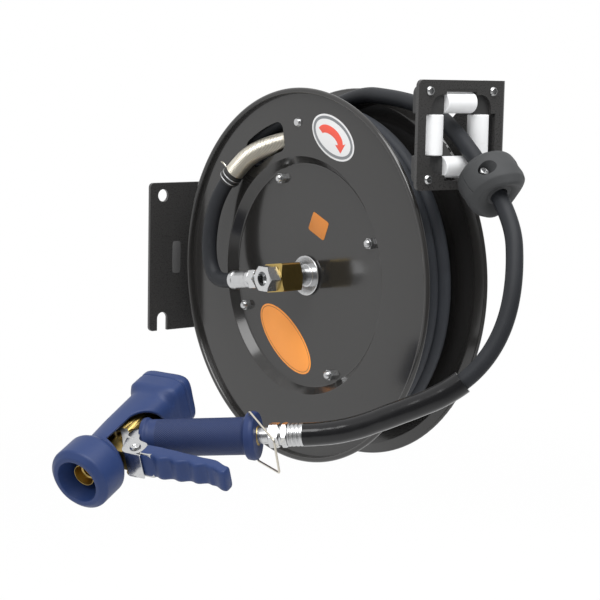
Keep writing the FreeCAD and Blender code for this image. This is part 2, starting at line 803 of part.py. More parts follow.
def acorn_nuts():
    nuts = []
    bore = TIE_THREAD + RUNNING_FIT
    for angle in tie_angles():
        seat = on_drum(FRONT_DISC, TIE_CIRCLE, angle)
        base = hexagon(seat, X_DIR * -1, NUT_FLATS, NUT_HEIGHT)
        top = seat - X_DIR * NUT_HEIGHT
        dome = turned([(0, 0, 0), (0, ACORN_DOME, 0), (ACORN_DOME, ACORN_DOME, ACORN_DOME - 0.2),
                       (ACORN_DOME, 0, 0)], top, X_DIR * -1)
        nuts.append(fuse([base, dome]).cut(rod(seat, seat - X_DIR * (TIE_STANDOUT + 0.5), bore)))
    return nuts


def rear_nuts():
    nuts = []
    for angle in tie_angles():
        seat = on_drum(REAR_DISC, TIE_CIRCLE, angle)
        nut = hexagon(seat, X_DIR, NUT_FLATS, NUT_HEIGHT)
        nuts.append(nut.cut(rod(seat, seat + X_DIR * NUT_HEIGHT, TIE_THREAD + RUNNING_FIT)))
    return nuts


def ring_screw():
    seat = on_drum(DRUM_FRONT + RING_DEPTH, RING_SCREW_CIRCLE, RING_SCREW_ANGLE)
    head = turned([(0, 0, 0), (0, RING_SCREW_HEAD, 0), (-3, 3.6, 0.8), (-3, 0, 0)], seat, X_DIR)
    return fuse([head, rod(seat, seat + X_DIR * DRUM_SHEET, TIE_THREAD)])


def front_bearing():
    face = FRONT_DISC - BEARING_FLANGE_THICK
    bore = SPINDLE_RADIUS + RUNNING_FIT
    corners = [(0, BEARING_RECESS, 0), (0, BEARING_FLANGE, 0.6), (BEARING_FLANGE_THICK, BEARING_FLANGE, 0),
               (BEARING_FLANGE_THICK, BEARING_SLEEVE, 0), (BEARING_FLANGE_THICK + BEARING_REACH, BEARING_SLEEVE, 0),
               (BEARING_FLANGE_THICK + BEARING_REACH, bore, 0), (BEARING_RECESS_DEPTH, bore, 0),
               (BEARING_RECESS_DEPTH, BEARING_RECESS, 0)]
    return turned(corners, V(face, AXIS.y, 0), X_DIR)


def rear_bearing():
    inner = REAR_DISC - DRUM_SHEET
    bore = SPINDLE_RADIUS + RUNNING_FIT
    end = RATCHET_END - inner
    corners = [(-BEARING_REACH, bore, 0), (end, bore, 0), (end, BEARING_SLEEVE, 0), (0, BEARING_SLEEVE, 0),
               (0, BEARING_FLANGE, 0), (-BEARING_FLANGE_THICK, BEARING_FLANGE, 0),
               (-BEARING_FLANGE_THICK, BEARING_SLEEVE, 0), (-BEARING_REACH, BEARING_SLEEVE, 0)]
    return turned(corners, V(inner, AXIS.y, 0), X_DIR)


def power_spring():
    """Flat strip wound from the arbor to a tie rod, in half turns about two centres."""
    outer = TIE_CIRCLE - TIE_RADIUS - HOLE_CLEARANCE
    step = (outer - SPRING_STRIP - SPRING_INNER) / (SPRING_HALF_TURNS - 1)
    middle = (FRONT_DISC + REAR_DISC) / 2
    x = middle - SPRING_WIDTH / 2
    lead = tie_angles()[0]
    inner_edges = []
    outer_edges = []
    for k in range(SPRING_HALF_TURNS):
        radius = SPRING_INNER + k * step
        shift = 0 if k % 2 == 0 else -step
        base = lead + 180 * (k + 1)
        for edges, r in ((inner_edges, radius), (outer_edges, radius + SPRING_STRIP)):
            centre = on_drum(x, shift, lead) - AXIS
            marks = [AXIS + centre + (on_drum(0, r, base + turn) - AXIS) for turn in (0, 90, 180)]
            marks = [V(x, m.y, m.z) for m in marks]
            edges.append(Part.Arc(marks[0], marks[1], marks[2]).toShape())
    first = inner_edges[0].Vertexes[0].Point
    first_outer = outer_edges[0].Vertexes[0].Point
    last = inner_edges[-1].Vertexes[-1].Point
    last_outer = outer_edges[-1].Vertexes[-1].Point
    loop = inner_edges + [Part.makeLine(last, last_outer)] + outer_edges[::-1] + [Part.makeLine(first_outer, first)]
    return Part.Face(Part.Wire(loop)).extrude(V(SPRING_WIDTH, 0, 0))


def spring_arbor():
    front = FRONT_DISC + BEARING_REACH + 4
    rear = REAR_DISC - DRUM_SHEET - BEARING_REACH - 2
    return along_x(front, rear, ARBOR_RADIUS).cut(along_x(front, rear, SPINDLE_RADIUS + RUNNING_FIT))


def ratchet_wheel():
    """Notched wheel beside the rear rim, on a hub that stands on the rear disc."""
    wheel = fuse([along_x(REAR_DISC, RATCHET_START, RATCHET_HUB), along_x(RATCHET_START, RATCHET_END, RATCHET_RADIUS)])
    for k in range(NOTCH_COUNT):
        angle = PAWL_TIP_ANGLE + 360 * k / NOTCH_COUNT
        out = on_drum(0, 1, angle) - AXIS
        across = X_DIR.cross(out)
        root = AXIS + out * (RATCHET_RADIUS - NOTCH_DEPTH) + X_DIR * RATCHET_START
        corners = [(-NOTCH_BEHIND, 0, 2.0), (NOTCH_AHEAD, 0, 2.0), (NOTCH_AHEAD, 2 * NOTCH_DEPTH, 0),
                   (-NOTCH_BEHIND, 2 * NOTCH_DEPTH, 0)]
        wheel = wheel.cut(prism(corners, root, across, out, X_DIR * RATCHET_THICK))
    return wheel.cut(along_x(REAR_DISC, RATCHET_END, BEARING_SLEEVE + RUNNING_FIT))


# Spindle, latch and their fastenings

def port_front():
    return DRUM_FRONT - BLOCK_REAR - BLOCK_LENGTH - PORT_LENGTH


def block_front():
    return DRUM_FRONT - BLOCK_REAR - BLOCK_LENGTH


def outlet_x():
    return DRUM_FRONT - OUTLET_REACH


def seal_places():
    middle = outlet_x()
    return [middle - 9.0, middle + 6.4]


def spindle():
    neck = DRUM_FRONT - BLOCK_REAR + SEAT_GAP
    nose_end = block_front() - NOSE_GRIP
    body = fuse([along_x(neck, SPINDLE_REAR, SPINDLE_RADIUS), along_x(nose_end, neck, NOSE_RADIUS),
                 along_x(RATCHET_END + SEAT_GAP, ARM_INNER, SHOULDER_RADIUS)])
    x = outlet_x()
    body = body.cut(along_x(nose_end, x + CHANNEL_RADIUS, CHANNEL_RADIUS))
    body = body.cut(rod(V(x, AXIS.y - NOSE_RADIUS - 1, 0), V(x, AXIS.y + NOSE_RADIUS + 1, 0), CHANNEL_RADIUS - 1.5))
    for place in seal_places():
        groove = pipe(V(place, AXIS.y, 0), V(place + SEAL_WIDTH, AXIS.y, 0), NOSE_RADIUS + 1, NOSE_RADIUS - SEAL_DEPTH)
        body = body.cut(groove)
    return body


def swivel_seals():
    return [pipe(V(place, AXIS.y, 0), V(place + SEAL_WIDTH, AXIS.y, 0), NOSE_RADIUS, NOSE_RADIUS - SEAL_DEPTH)
            for place in seal_places()]


def inlet_port():
    front = port_front()
    port = chamfered_hexagon(V(front, AXIS.y, 0), X_DIR, PORT_FLATS, PORT_LENGTH)
    port = port.cut(along_x(front, front + PORT_LENGTH, PORT_BORE))
    return port.cut(along_x(block_front() - NOSE_GRIP, block_front(), NOSE_RADIUS + RUNNING_FIT))


def spindle_washer():
    seat = PEDESTAL_X + ARM_SHEET
    return pipe(V(seat, AXIS.y, 0), V(seat + WASHER_THICK, AXIS.y, 0), WASHER_RADIUS, SPINDLE_RADIUS + RUNNING_FIT)


def spindle_nut():
    seat = PEDESTAL_X + ARM_SHEET + WASHER_THICK
    nut = chamfered_hexagon(V(seat, AXIS.y, 0), X_DIR, NUT_SPINDLE_FLATS, NUT_SPINDLE_HEIGHT)
    return nut.cut(along_x(seat, seat + NUT_SPINDLE_HEIGHT, SPINDLE_RADIUS + RUNNING_FIT))


def pawl_pivot():
    return on_drum(RATCHET_START + SEAT_GAP, PAWL_PIVOT_CIRCLE, PAWL_PIVOT_ANGLE)


def pawl():
    pivot = pawl_pivot()
    tip = on_drum(pivot.x, PAWL_TIP_CIRCLE, PAWL_TIP_ANGLE)
    body = link(pivot, PAWL_PIVOT_BOSS, tip, PAWL_TIP_RADIUS, X_DIR * PAWL_THICK)
    return body.cut(rod(pivot, pivot + X_DIR * PAWL_THICK, PAWL_PIN_RADIUS + RUNNING_FIT))


def pawl_spring_room():
    """Length of the pin between its head and the pawl, which the coil spring takes."""
    return PAWL_SPRING_PITCH * PAWL_SPRING_TURNS + 2 * (PAWL_SPRING_WIRE + SEAT_GAP)


def pawl_pin():
    """Shouldered pin: head, spring room, pawl seat, and a riveted end through the pedestal."""
    pivot = pawl_pivot()
    head = pivot.x - pawl_spring_room()
    outside = PEDESTAL_X + ARM_SHEET
    return fuse([along_x(head - PAWL_PIN_HEAD_THICK, head, PAWL_PIN_HEAD, pivot),
                 along_x(head, outside + PAWL_PIN_HEAD_THICK, PAWL_PIN_RADIUS, pivot),
                 along_x(pivot.x + PAWL_THICK + SEAT_GAP, PEDESTAL_X, PAWL_PIN_SHOULDER, pivot),
                 along_x(outside, outside + PAWL_PIN_HEAD_THICK, PAWL_PIN_HEAD, pivot)])


def pawl_spring():
    pivot = pawl_pivot()
    coil = PAWL_PIN_RADIUS + SEAT_GAP + PAWL_SPRING_WIRE
    first = pivot.x - pawl_spring_room() + SEAT_GAP + PAWL_SPRING_WIRE

    def curve(k):
        angle = math.radians(90 * k)
        x = first + PAWL_SPRING_PITCH * k / 4
        return V(x, pivot.y + coil * math.cos(angle), pivot.z + coil * math.sin(angle))

    steps = 4 * PAWL_SPRING_TURNS
    edges = wind(curve, steps)
    least_gap("pawl_spring", curve, steps, 2, PAWL_SPRING_WIRE)
    return polygon_tube(edges, curve(0), unit(curve(1e-4) - curve(-1e-4)), PAWL_SPRING_WIRE, 4)


# Swivel and riser

def outlet_direction():
    return on_drum(0, 1, SWIVEL_ANGLE) - AXIS


def swivel_body():
    out = outlet_direction()
    other = X_DIR.cross(out)
    front = block_front()
    half = BLOCK_SIDE / 2
    start = V(front, AXIS.y, 0)
    corners = [(-half, -half, BLOCK_CHAMFER), (half, -half, BLOCK_CHAMFER), (half, half, BLOCK_CHAMFER),
               (-half, half, BLOCK_CHAMFER)]
    body = prism(corners, start, out, other, X_DIR * BLOCK_LENGTH)
    reach = half * math.sqrt(2)
    turned_ends = turned([(0, 0, 0), (0, half, 0), (BLOCK_CHAMFER, reach, 0),
                          (BLOCK_LENGTH - BLOCK_CHAMFER, reach, 0), (BLOCK_LENGTH, half, 0), (BLOCK_LENGTH, 0, 0)],
                         start, X_DIR)
    body = body.common(turned_ends)
    body = body.cut(along_x(front, front + BLOCK_LENGTH, NOSE_RADIUS + RUNNING_FIT))
    x = outlet_x()
    body = body.cut(along_x(x - CHANNEL_RADIUS, x + CHANNEL_RADIUS, NOSE_RADIUS + 2.5))
    centre = V(x, AXIS.y, 0)
    return body.cut(rod(centre, centre + out * BLOCK_SIDE, CHANNEL_RADIUS))


def swivel_outlet():
    out = outlet_direction()
    centre = V(outlet_x(), AXIS.y, 0)
    half = BLOCK_SIDE / 2
    nut_start = FERRULE_START - 10.0
    neck = rod(centre + out * half, centre + out * FERRULE_START, OUTLET_RADIUS)
    nut = chamfered_hexagon(centre + out * (nut_start - 4), out, OUTLET_NUT_FLATS, 12.0)
    return fuse([neck, nut]).cut(rod(centre, centre + out * (FERRULE_START + 1), CHANNEL_RADIUS))


def riser_ferrule():
    out = outlet_direction()
    centre = V(outlet_x(), AXIS.y, 0)
    corners = [(FERRULE_START, CHANNEL_RADIUS, 0), (FERRULE_START, FERRULE_RADIUS, 1.5),
               (FERRULE_END, FERRULE_RADIUS, 0.8), (FERRULE_END, CHANNEL_RADIUS, 0)]
    return turned(corners, centre, out)


def riser_route():
    start = V(outlet_x(), AXIS.y, 0) + outlet_direction() * FERRULE_END
    first = start + outlet_direction() * RISER_LEAD
    return route([start, first] + [from_rim(p) for p in RISER_CORNERS])


def riser_hose():
    segments = riser_route()
    print_radii("riser_hose", segments)
    return tube("riser_hose", segments, HOSE_RADIUS)


def guard_span():
    """Distances along the riser of the collar's start, the guard's start and end."""
    segments = riser_route()
    last_runs = sum(segment_length(s) for s in segments[-3:])
    total = route_length(segments)
    corner = total - last_runs
    return corner, corner + COLLAR_LENGTH, total - CLAMP_LENGTH - 2


def guard_collar():
    segments = riser_route()
    begin, end, _ = guard_span()
    start, direction = station(segments, begin)
    outer = HOSE_RADIUS + COLLAR_WALL
    inner = HOSE_RADIUS + HOLE_CLEARANCE
    bead = outer + 1.0
    corners = [(0, inner, 0), (0, outer, 0), (1, bead, 0.4), (3, bead, 0.4), (4, outer, 0), (6.5, outer, 0),
               (7, bead, 0), (9.2, bead, 0.4), (COLLAR_LENGTH, outer, 0), (COLLAR_LENGTH, inner, 0)]
    return turned(corners, start, direction)


def spring_guard():
    """Guard coil round the riser: a helix about its route from the collar to the clamp."""
    segments = riser_route()
    _, begin, end = guard_span()
    into = station(segments, begin)[1]
    out = station(segments, end)[1]
    normal = unit(into.cross(out))
    first = begin + GUARD_WIRE + 0.1
    pitch = (end - first - GUARD_WIRE) / GUARD_CURLS

    def curve(k):
        place, direction = station(segments, first + pitch * k / 4)
        angle = math.pi * k / 2
        return place + (normal.cross(direction) * math.cos(angle) + normal * math.sin(angle)) * GUARD_RADIUS

    steps = 4 * GUARD_CURLS
    edges = wind(curve, steps)
    least_gap("spring_guard", curve, steps, 2, GUARD_WIRE)
    return polygon_tube(edges, curve(0), unit(curve(1e-4) - curve(-1e-4)), GUARD_WIRE, 4)


def hose_clamp():
    segments = riser_route()
    end, direction = station(segments, route_length(segments))
    start = end - direction * CLAMP_LENGTH
    middle = (start + end) * 0.5
    out = V(0, middle.y - AXIS.y, middle.z).normalize()
    across = X_DIR.cross(out)
    half = CLAMP_FOOT / 2
    foot_low = AXIS + out * (CORE_RADIUS + SEAT_GAP)
    reach = (V(0, middle.y, middle.z) - foot_low).Length
    foot_low = V(middle.x, foot_low.y, foot_low.z)
    corners = [(-half, -half, 0), (half, -half, 0), (half, half, 0), (-half, half, 0)]
    foot = prism(corners, foot_low, X_DIR, across, out * reach)
    ring = rod(start, end, HOSE_RADIUS + CLAMP_WALL)
    beyond = direction * half
    hose = rod(start - beyond, end + beyond, HOSE_RADIUS + HOLE_CLEARANCE)
    return fuse([foot, ring]).cut(hose)


# Wound hose

def inner_layers():
    outer = WIND_RADIUS - HOSE_RADIUS - SEAT_GAP
    low = FRONT_RING_INNER + 0.4
    high = REAR_RING_INNER - 0.4
    layers = pipe(V(low, AXIS.y, 0), V(high, AXIS.y, 0), outer, CORE_RADIUS + SEAT_GAP)
    far = 2 * outer
    wedge = Part.makePolygon([V(low, AXIS.y, 0), on_drum(low, far, POCKET_START), on_drum(low, far, POCKET_END),
                              V(low, AXIS.y, 0)])
    depth = DRUM_FRONT + POCKET_DEPTH - low
    return layers.cut(Part.Face(wedge).extrude(V(depth, 0, 0)))


def hose_winding():
    """Outer layer on the drum: one tube wound in evenly stepped lanes."""
    steps = 4 * WIND_TURNS

    def curve(k):
        x = DRUM_FRONT + LANE_FIRST + LANE_PITCH * k / 4
        return on_drum(x, WIND_RADIUS, WIND_START_ANGLE - 90 * k)

    edges = wind(curve, steps)
    lead = 2 * HOSE_RADIUS
    begin = curve(0) - unit(curve(1e-4) - curve(-1e-4)) * lead
    finish = curve(steps) + unit(curve(steps + 1e-4) - curve(steps - 1e-4)) * lead
    edges = [Part.makeLine(begin, curve(0))] + edges + [Part.makeLine(curve(steps), finish)]
    least_gap("hose_winding", curve, steps, 2, HOSE_RADIUS)
    return sweep_circle(Part.Wire(edges), begin, curve(0) - begin, HOSE_RADIUS)


def hose_last_turn():
    """Last lane beside the rear flange, up to where the free hose leaves it."""
    x = DRUM_FRONT + LAST_LANE
    marks = [WIND_START_ANGLE, (WIND_START_ANGLE + LEAVE_ANGLE) / 2, LEAVE_ANGLE]
    points = [on_drum(x, WIND_RADIUS, a) for a in marks]
    arc = Part.Arc(points[0], points[1], points[2]).toShape()
    direction = arc.tangentAt(arc.FirstParameter)
    return sweep_circle(Part.Wire([arc]), points[0], direction, HOSE_RADIUS)


# Free hose and what is on it

def gun_joint():
    """Where the barrel's line meets the handle's line."""
    return GUN_END - unit(HANDLE_DIRECTION) * (HANDLE_START + HANDLE_LENGTH)


def hose_end():
    return GUN_END + unit(HANDLE_DIRECTION) * (END_NECK_LENGTH + END_HEX_LENGTH + END_FERRULE_LENGTH)


def free_route():
    start = on_drum(DRUM_FRONT + LAST_LANE, WIND_RADIUS, LEAVE_ANGLE)
    end = hose_end()
    last = end + unit(HANDLE_DIRECTION) * FREE_END_RUN
    return route([start] + [V(*p) for p in FREE_CORNERS] + [last, end])


def sleeve_start(segments):
    """Distance of the sleeve's outer end: the middle of the run before the last corners."""
    run = len(segments) - 1 - 2 * SLEEVE_CORNERS
    return route_length(segments[:run]) + segment_length(segments[run]) / 2


def hose_free():
    segments = free_route()
    print_radii("hose_free", segments)
    return tube("hose_free", segments, HOSE_RADIUS)


def hose_sleeve():
    segments = free_route()
    span = part_route(segments, sleeve_start(segments), route_length(segments))
    return tube("hose_sleeve", span, HOSE_RADIUS + SLEEVE_WALL, HOSE_RADIUS + HOLE_CLEARANCE)


def ball_axis():
    return unit(V(*FREE_CORNERS[4]) - V(*FREE_CORNERS[3]))


def ball_half(side):
    """One half of the clamped stop: a thick rounded disc with a dished front and screw pockets."""
    axis = ball_axis()
    half = BALL_LENGTH / 2
    bore = HOSE_RADIUS + HOLE_CLEARANCE
    corners = [(-half, bore, 0), (-half, BALL_RADIUS - 6, 0), (-half + 6, BALL_RADIUS, 5.0),
               (half, BALL_RADIUS, BALL_EDGE), (half, BALL_DISH_RADIUS, 2.0),
               (half - BALL_DISH_DEPTH, bore + 3, 1.0), (half - BALL_DISH_DEPTH, bore, 0)]
    disc = turned(corners, BALL_CENTRE, axis)
    normal = ball_split()
    across = axis.cross(normal)
    size = 2 * BALL_RADIUS
    square = [(-size, -size, 0), (size, -size, 0), (size, size, 0), (-size, size, 0)]
    keep = prism(square, BALL_CENTRE + normal * (side * 0.1), axis, across, normal * (side * size))
    disc = disc.common(keep)
    for place in ball_screw_places():
        disc = disc.cut(rod(place - normal * size, place + normal * size, BALL_SCREW_RADIUS + RUNNING_FIT))
        seat = place + normal * (side * 10)
        disc = disc.cut(rod(seat, seat + normal * (side * size), BALL_POCKET_RADIUS))
    return disc


def ball_split():
    """Direction across the joint of the two halves: the screws' direction."""
    axis = ball_axis()
    return unit(Z_DIR - axis * axis.z)


def ball_screw_places():
    across = ball_axis().cross(ball_split())
    return [BALL_CENTRE + across * (sign * BALL_SCREW_OFFSET) for sign in (-1, 1)]


def ball_screws():
    normal = ball_split()
    screws = []
    for place in ball_screw_places():
        shank = rod(place - normal * 9.5, place + normal * 11, BALL_SCREW_RADIUS)
        head = rod(place + normal * 10, place + normal * 14, BALL_POCKET_RADIUS - 1.6)
        screws.append(fuse([shank, head]))
    return screws


def end_ferrule():
    start = GUN_END + unit(HANDLE_DIRECTION) * (END_NECK_LENGTH + END_HEX_LENGTH)
    corners = [(0, WATER_BORE, 0), (0, END_FERRULE_RADIUS, 1.2), (END_FERRULE_LENGTH, END_FERRULE_RADIUS, 0.6),
               (END_FERRULE_LENGTH, WATER_BORE, 0)]
    return turned(corners, start, HANDLE_DIRECTION)


def hose_adapter():
    along = unit(HANDLE_DIRECTION)
    neck_end = GUN_END + along * END_NECK_LENGTH
    hex_end = neck_end + along * END_HEX_LENGTH
    neck = rod(GUN_END, neck_end, END_NECK_RADIUS)
    nut = chamfered_hexagon(neck_end, along, END_HEX_FLATS, END_HEX_LENGTH * 0.55)
    body = rod(neck_end, hex_end, END_FERRULE_RADIUS - 1.5)
    last = chamfered_hexagon(hex_end - along * (END_HEX_LENGTH * 0.3), along, END_HEX_FLATS, END_HEX_LENGTH * 0.3)
    return fuse([neck, nut, body, last]).cut(rod(GUN_END, hex_end, WATER_BORE))


# Spray gun, in its own axes: f along the barrel, h towards the handle, w across

def gun_axes():
    f_dir = unit(BARREL_DIRECTION)
    along = unit(HANDLE_DIRECTION)
    h_dir = unit(along - f_dir * along.dot(f_dir))
    return f_dir, h_dir, f_dir.cross(h_dir)


def gun_point(f, h, w=0.0):
    f_dir, h_dir, w_dir = gun_axes()
    return gun_joint() + f_dir * f + h_dir * h + w_dir * w


def handle_point(s, p=0.0, w=0.0):
    """Point at s along the handle's line and p towards the lever."""
    w_dir = gun_axes()[2]
    along = unit(HANDLE_DIRECTION)
    return gun_joint() + along * s + along.cross(w_dir) * p + w_dir * w


def gun_plate(corners, w0, w1):
    f_dir, h_dir, w_dir = gun_axes()
    return prism(corners, gun_point(0, 0, w0), f_dir, h_dir, w_dir * (w1 - w0))


def cover_radius(f):
    """Outer radius of the barrel cover, which widens towards the rear."""
    share = (COVER_FRONT - f) / (COVER_FRONT + COVER_REAR)
    return COVER_FRONT_RADIUS + share * (COVER_REAR_RADIUS - COVER_FRONT_RADIUS)


def lever_bores(half, extra):
    w_dir = gun_axes()[2]
    centre = gun_point(LEVER_PIVOT_F, LEVER_PIVOT_H)
    return rod(centre - w_dir * half, centre + w_dir * half, LEVER_PIN_RADIUS + extra)


def gun_body():
    f_dir, h_dir, w_dir = gun_axes()
    barrel = rod(gun_point(-BARREL_REAR, 0), gun_point(BARREL_FRONT, 0), BARREL_RADIUS)
    discs = []
    for place, thick in ((-BARREL_REAR, 5.0), (COVER_FRONT - 4, 4.0)):
        radius = cover_radius(place + thick) - COVER_WALL - SEAT_GAP
        discs.append(rod(gun_point(place, 0), gun_point(place + thick, 0), radius))
    handle = rod(gun_point(0, 0), handle_point(HANDLE_START + HANDLE_LENGTH), HANDLE_TUBE)
    half = LEVER_EAR_GAP - SEAT_GAP
    lug = link(gun_point(22, 3, -half), 9.0, gun_point(LEVER_PIVOT_F, LEVER_PIVOT_H, -half), LEVER_LUG,
               w_dir * (2 * half))
    body = fuse([barrel, handle, lug] + discs)
    body = body.cut(rod(gun_point(-BARREL_REAR, 0), gun_point(STEM_FRONT + STEM_TRAVEL + 2, 0),
                        STEM_RADIUS + RUNNING_FIT))
    body = body.cut(rod(gun_point(STEM_FRONT + STEM_TRAVEL + 1, 0), gun_point(BARREL_FRONT, 0), NOZZLE_BORE))
    body = body.cut(rod(handle_point(6), handle_point(HANDLE_START + HANDLE_LENGTH), WATER_BORE))
    slot = STEM_PIN_RADIUS + SEAT_GAP
    cut = gun_plate([(STEM_PIN_F - slot, -slot, 0), (STEM_PIN_F + STEM_TRAVEL + slot, -slot, 0),
                     (STEM_PIN_F + STEM_TRAVEL + slot, slot, 0), (STEM_PIN_F - slot, slot, 0)],
                    -BARREL_RADIUS - 1, BARREL_RADIUS + 1)
    return body.cut(cut).cut(lever_bores(half + 1, RUNNING_FIT))


def gun_nozzle():
    bore = NOZZLE_BORE
    corners = [(0, bore, 0), (0, NOZZLE_RADIUS, 0), (NOZZLE_LENGTH, NOZZLE_RADIUS - 1, 1.0),
               (NOZZLE_LENGTH, NOZZLE_RADIUS - 3.5, 0), (NOZZLE_LENGTH - 5, bore, 0)]
    return turned(corners, gun_point(BARREL_FRONT, 0), BARREL_DIRECTION)


def front_bumper():
    reach = BUMPER_END - BUMPER_START
    cup = reach - BUMPER_CUP_DEPTH
    inner = BARREL_RADIUS + HOLE_CLEARANCE
    corners = [(0, inner, 0), (0, BUMPER_RADIUS - 4, 5.0), (9, BUMPER_RADIUS, 8.0),
               (reach - 6, BUMPER_RADIUS, 9.0), (reach, BUMPER_RADIUS - 6, 4.0), (reach, BUMPER_APERTURE, 2.0),
               (cup, BUMPER_THROAT, 2.0), (cup, inner, 0)]
    return turned(corners, gun_point(BUMPER_START, 0), BARREL_DIRECTION)


def barrel_cover():
    length = COVER_FRONT + COVER_REAR
    start = gun_point(COVER_FRONT, 0)
    back = BARREL_DIRECTION * -1
    outer = turned([(0, 0, 0), (0, COVER_FRONT_RADIUS, 0), (length, COVER_REAR_RADIUS, 0), (length, 0, 0)],
                   start, back)
    f_dir, h_dir, w_dir = gun_axes()
    bumper = prism([(-REAR_BUMPER_HALF_H, -REAR_BUMPER_HALF_W, 12.0), (REAR_BUMPER_HALF_H, -REAR_BUMPER_HALF_W, 12.0),
                    (REAR_BUMPER_HALF_H, REAR_BUMPER_HALF_W, 12.0), (-REAR_BUMPER_HALF_H, REAR_BUMPER_HALF_W, 12.0)],
                   gun_point(-REAR_BUMPER_START, 0), h_dir, w_dir, f_dir * -REAR_BUMPER_LENGTH)
    bumper = bumper.makeFillet(5.0, bumper.Edges)
    inner_reach = length - COVER_REAR + BARREL_REAR + SEAT_GAP
    inner_rear = cover_radius(COVER_FRONT - inner_reach) - COVER_WALL
    inner = turned([(-1, 0, 0), (-1, COVER_FRONT_RADIUS - COVER_WALL, 0), (inner_reach, inner_rear, 0),
                    (inner_reach, 0, 0)], start, back)
    reach = COVER_REAR_RADIUS + 5
    window = gun_plate([(-WINDOW_REAR, WINDOW_HEIGHT, 4.0), (WINDOW_FRONT, WINDOW_HEIGHT, 4.0),
                        (WINDOW_FRONT, reach, 0), (-WINDOW_REAR, reach, 0)], -reach, reach)
    return fuse([outer, bumper]).cut(inner).cut(window)


def grip_sleeve():
    end = HANDLE_LENGTH
    inner = HANDLE_TUBE + HOLE_CLEARANCE
    corners = [(0, inner, 0), (0, GRIP_FRONT_COLLAR, 2.5), (6, GRIP_FRONT_COLLAR, 2.5), (9, GRIP_RADIUS, 3.0),
               (end - GRIP_COLLAR_LENGTH - 3, GRIP_RADIUS, 3.0), (end - GRIP_COLLAR_LENGTH, GRIP_END_COLLAR, 3.0),
               (end, GRIP_END_COLLAR, 3.0), (end, inner, 0)]
    sleeve = turned(corners, handle_point(HANDLE_START), HANDLE_DIRECTION)
    sleeve = sleeve.cut(rod(gun_point(-BARREL_REAR, 0), gun_point(BARREL_FRONT, 0), BARREL_RADIUS + SEAT_GAP))
    for side in (-1, 1):
        hole = rod(handle_point(BAIL_PIVOT_S, 0, side * (BAIL_HALF - 5)),
                   handle_point(BAIL_PIVOT_S, 0, side * (BAIL_HALF + 5)), BAIL_WIRE + RUNNING_FIT)
        sleeve = sleeve.cut(hole)
    return sleeve


def lever_tang():
    """Tongue of the lever bracket that lies inside the moulded grip."""
    return gun_plate([(21, 50, 0), (23.5, 50, 0), (23.5, 126, 0), (21, 126, 0)], -6, 6)


def lever_bracket():
    inner = LEVER_EAR_GAP
    outer = inner + LEVER_EAR_SHEET
    push = STEM_PIN_F - STEM_PIN_RADIUS
    ear = [(push - 5.5, -2.5, 1.2), (push - 0.5, -2.5, 1.2), (push, 6, 1.5), (17, 14, 4.0), (33, 26, 5.0),
           (33, 56, 2.0), (19, 60, 2.0), (18, 36, 3.0), (13, 22, 3.0), (push - 5.5, 10, 1.5)]
    ears = [gun_plate(ear, side * inner, side * outer) for side in (-1, 1)]
    web = gun_plate([(30.5, 45, 0), (33, 45, 0), (33, 56, 0), (30.5, 56.8, 0)], -inner, inner)
    end = gun_plate([(19, 57, 0), (33, 53.2, 0), (33, 56, 0), (19, 60, 0)], -inner, inner)
    bracket = fuse(ears + [web, end, lever_tang()])
    return bracket.cut(lever_bores(outer + 1, RUNNING_FIT))


def lever_grip():
    """Moulded lever: finger grooves along its outer face."""
    corners = [(16.5, 61, 2.0), (30, 57.5, 2.0), (31.5, 64, 3.0)]
    for k in range(3):
        h = 66 + 19 * k
        corners.append((27.5, h + 6, 5.0))
        corners.append((31.5 - k, h + 16, 5.0))
    corners += [(27, 128, 4.0), (33, 139, 2.0), (27, 144, 2.0), (17, 133, 3.0)]
    body = gun_plate(corners, -LEVER_GRIP_HALF, LEVER_GRIP_HALF)
    return body.cut(lever_tang())


def lever_pin():
    w_dir = gun_axes()[2]
    centre = gun_point(LEVER_PIVOT_F, LEVER_PIVOT_H)
    half = LEVER_EAR_GAP + LEVER_EAR_SHEET + SEAT_GAP
    shank = rod(centre - w_dir * half, centre + w_dir * half, LEVER_PIN_RADIUS)
    heads = [Part.makeCylinder(LEVER_PIN_HEAD, 2.6, centre + w_dir * (side * half), w_dir * side) for side in (-1, 1)]
    return fuse([shank] + heads)


def valve_stem():
    w_dir = gun_axes()[2]
    half = LEVER_EAR_GAP + LEVER_EAR_SHEET
    stem = rod(gun_point(-STEM_REAR, 0), gun_point(STEM_FRONT, 0), STEM_RADIUS)
    cross = rod(gun_point(STEM_PIN_F, 0, -half), gun_point(STEM_PIN_F, 0, half), STEM_PIN_RADIUS)
    return fuse([stem, cross])


def bail():
    """Wire loop hinged in the grip's end collar."""
    segments = [handle_point(BAIL_PIVOT_S, 0, -BAIL_HALF + 4)]
    segments.append(handle_point(BAIL_PIVOT_S, 0, -BAIL_HALF - 6))
    segments.append(handle_point(BAIL_PIVOT_S + BAIL_REACH_S, BAIL_REACH_P, -BAIL_HALF + 4))
    segments.append(handle_point(BAIL_PIVOT_S + BAIL_REACH_S, BAIL_REACH_P, BAIL_HALF - 4))
    segments.append(handle_point(BAIL_PIVOT_S, 0, BAIL_HALF + 6))
    segments.append(handle_point(BAIL_PIVOT_S, 0, BAIL_HALF - 4))
    path = []
    start = segments[0]
    bend = 3.0
    for i in range(1, len(segments) - 1):
        into = segments[i] - segments[i - 1]
        out = segments[i + 1] - segments[i]
        turn = into.getAngle(out)
        cut = bend * math.tan(turn / 2)
        begin = segments[i] - unit(into) * cut
        finish = segments[i] + unit(out) * cut
        centre = segments[i] + unit(unit(out) - unit(into)) * (bend / math.cos(turn / 2))
        path.append(("run", start, begin))
        path.append(("arc", begin, finish, centre, bend, turn))
        start = finish
    path.append(("run", start, segments[-1]))
    return tube("bail", path, BAIL_WIRE)


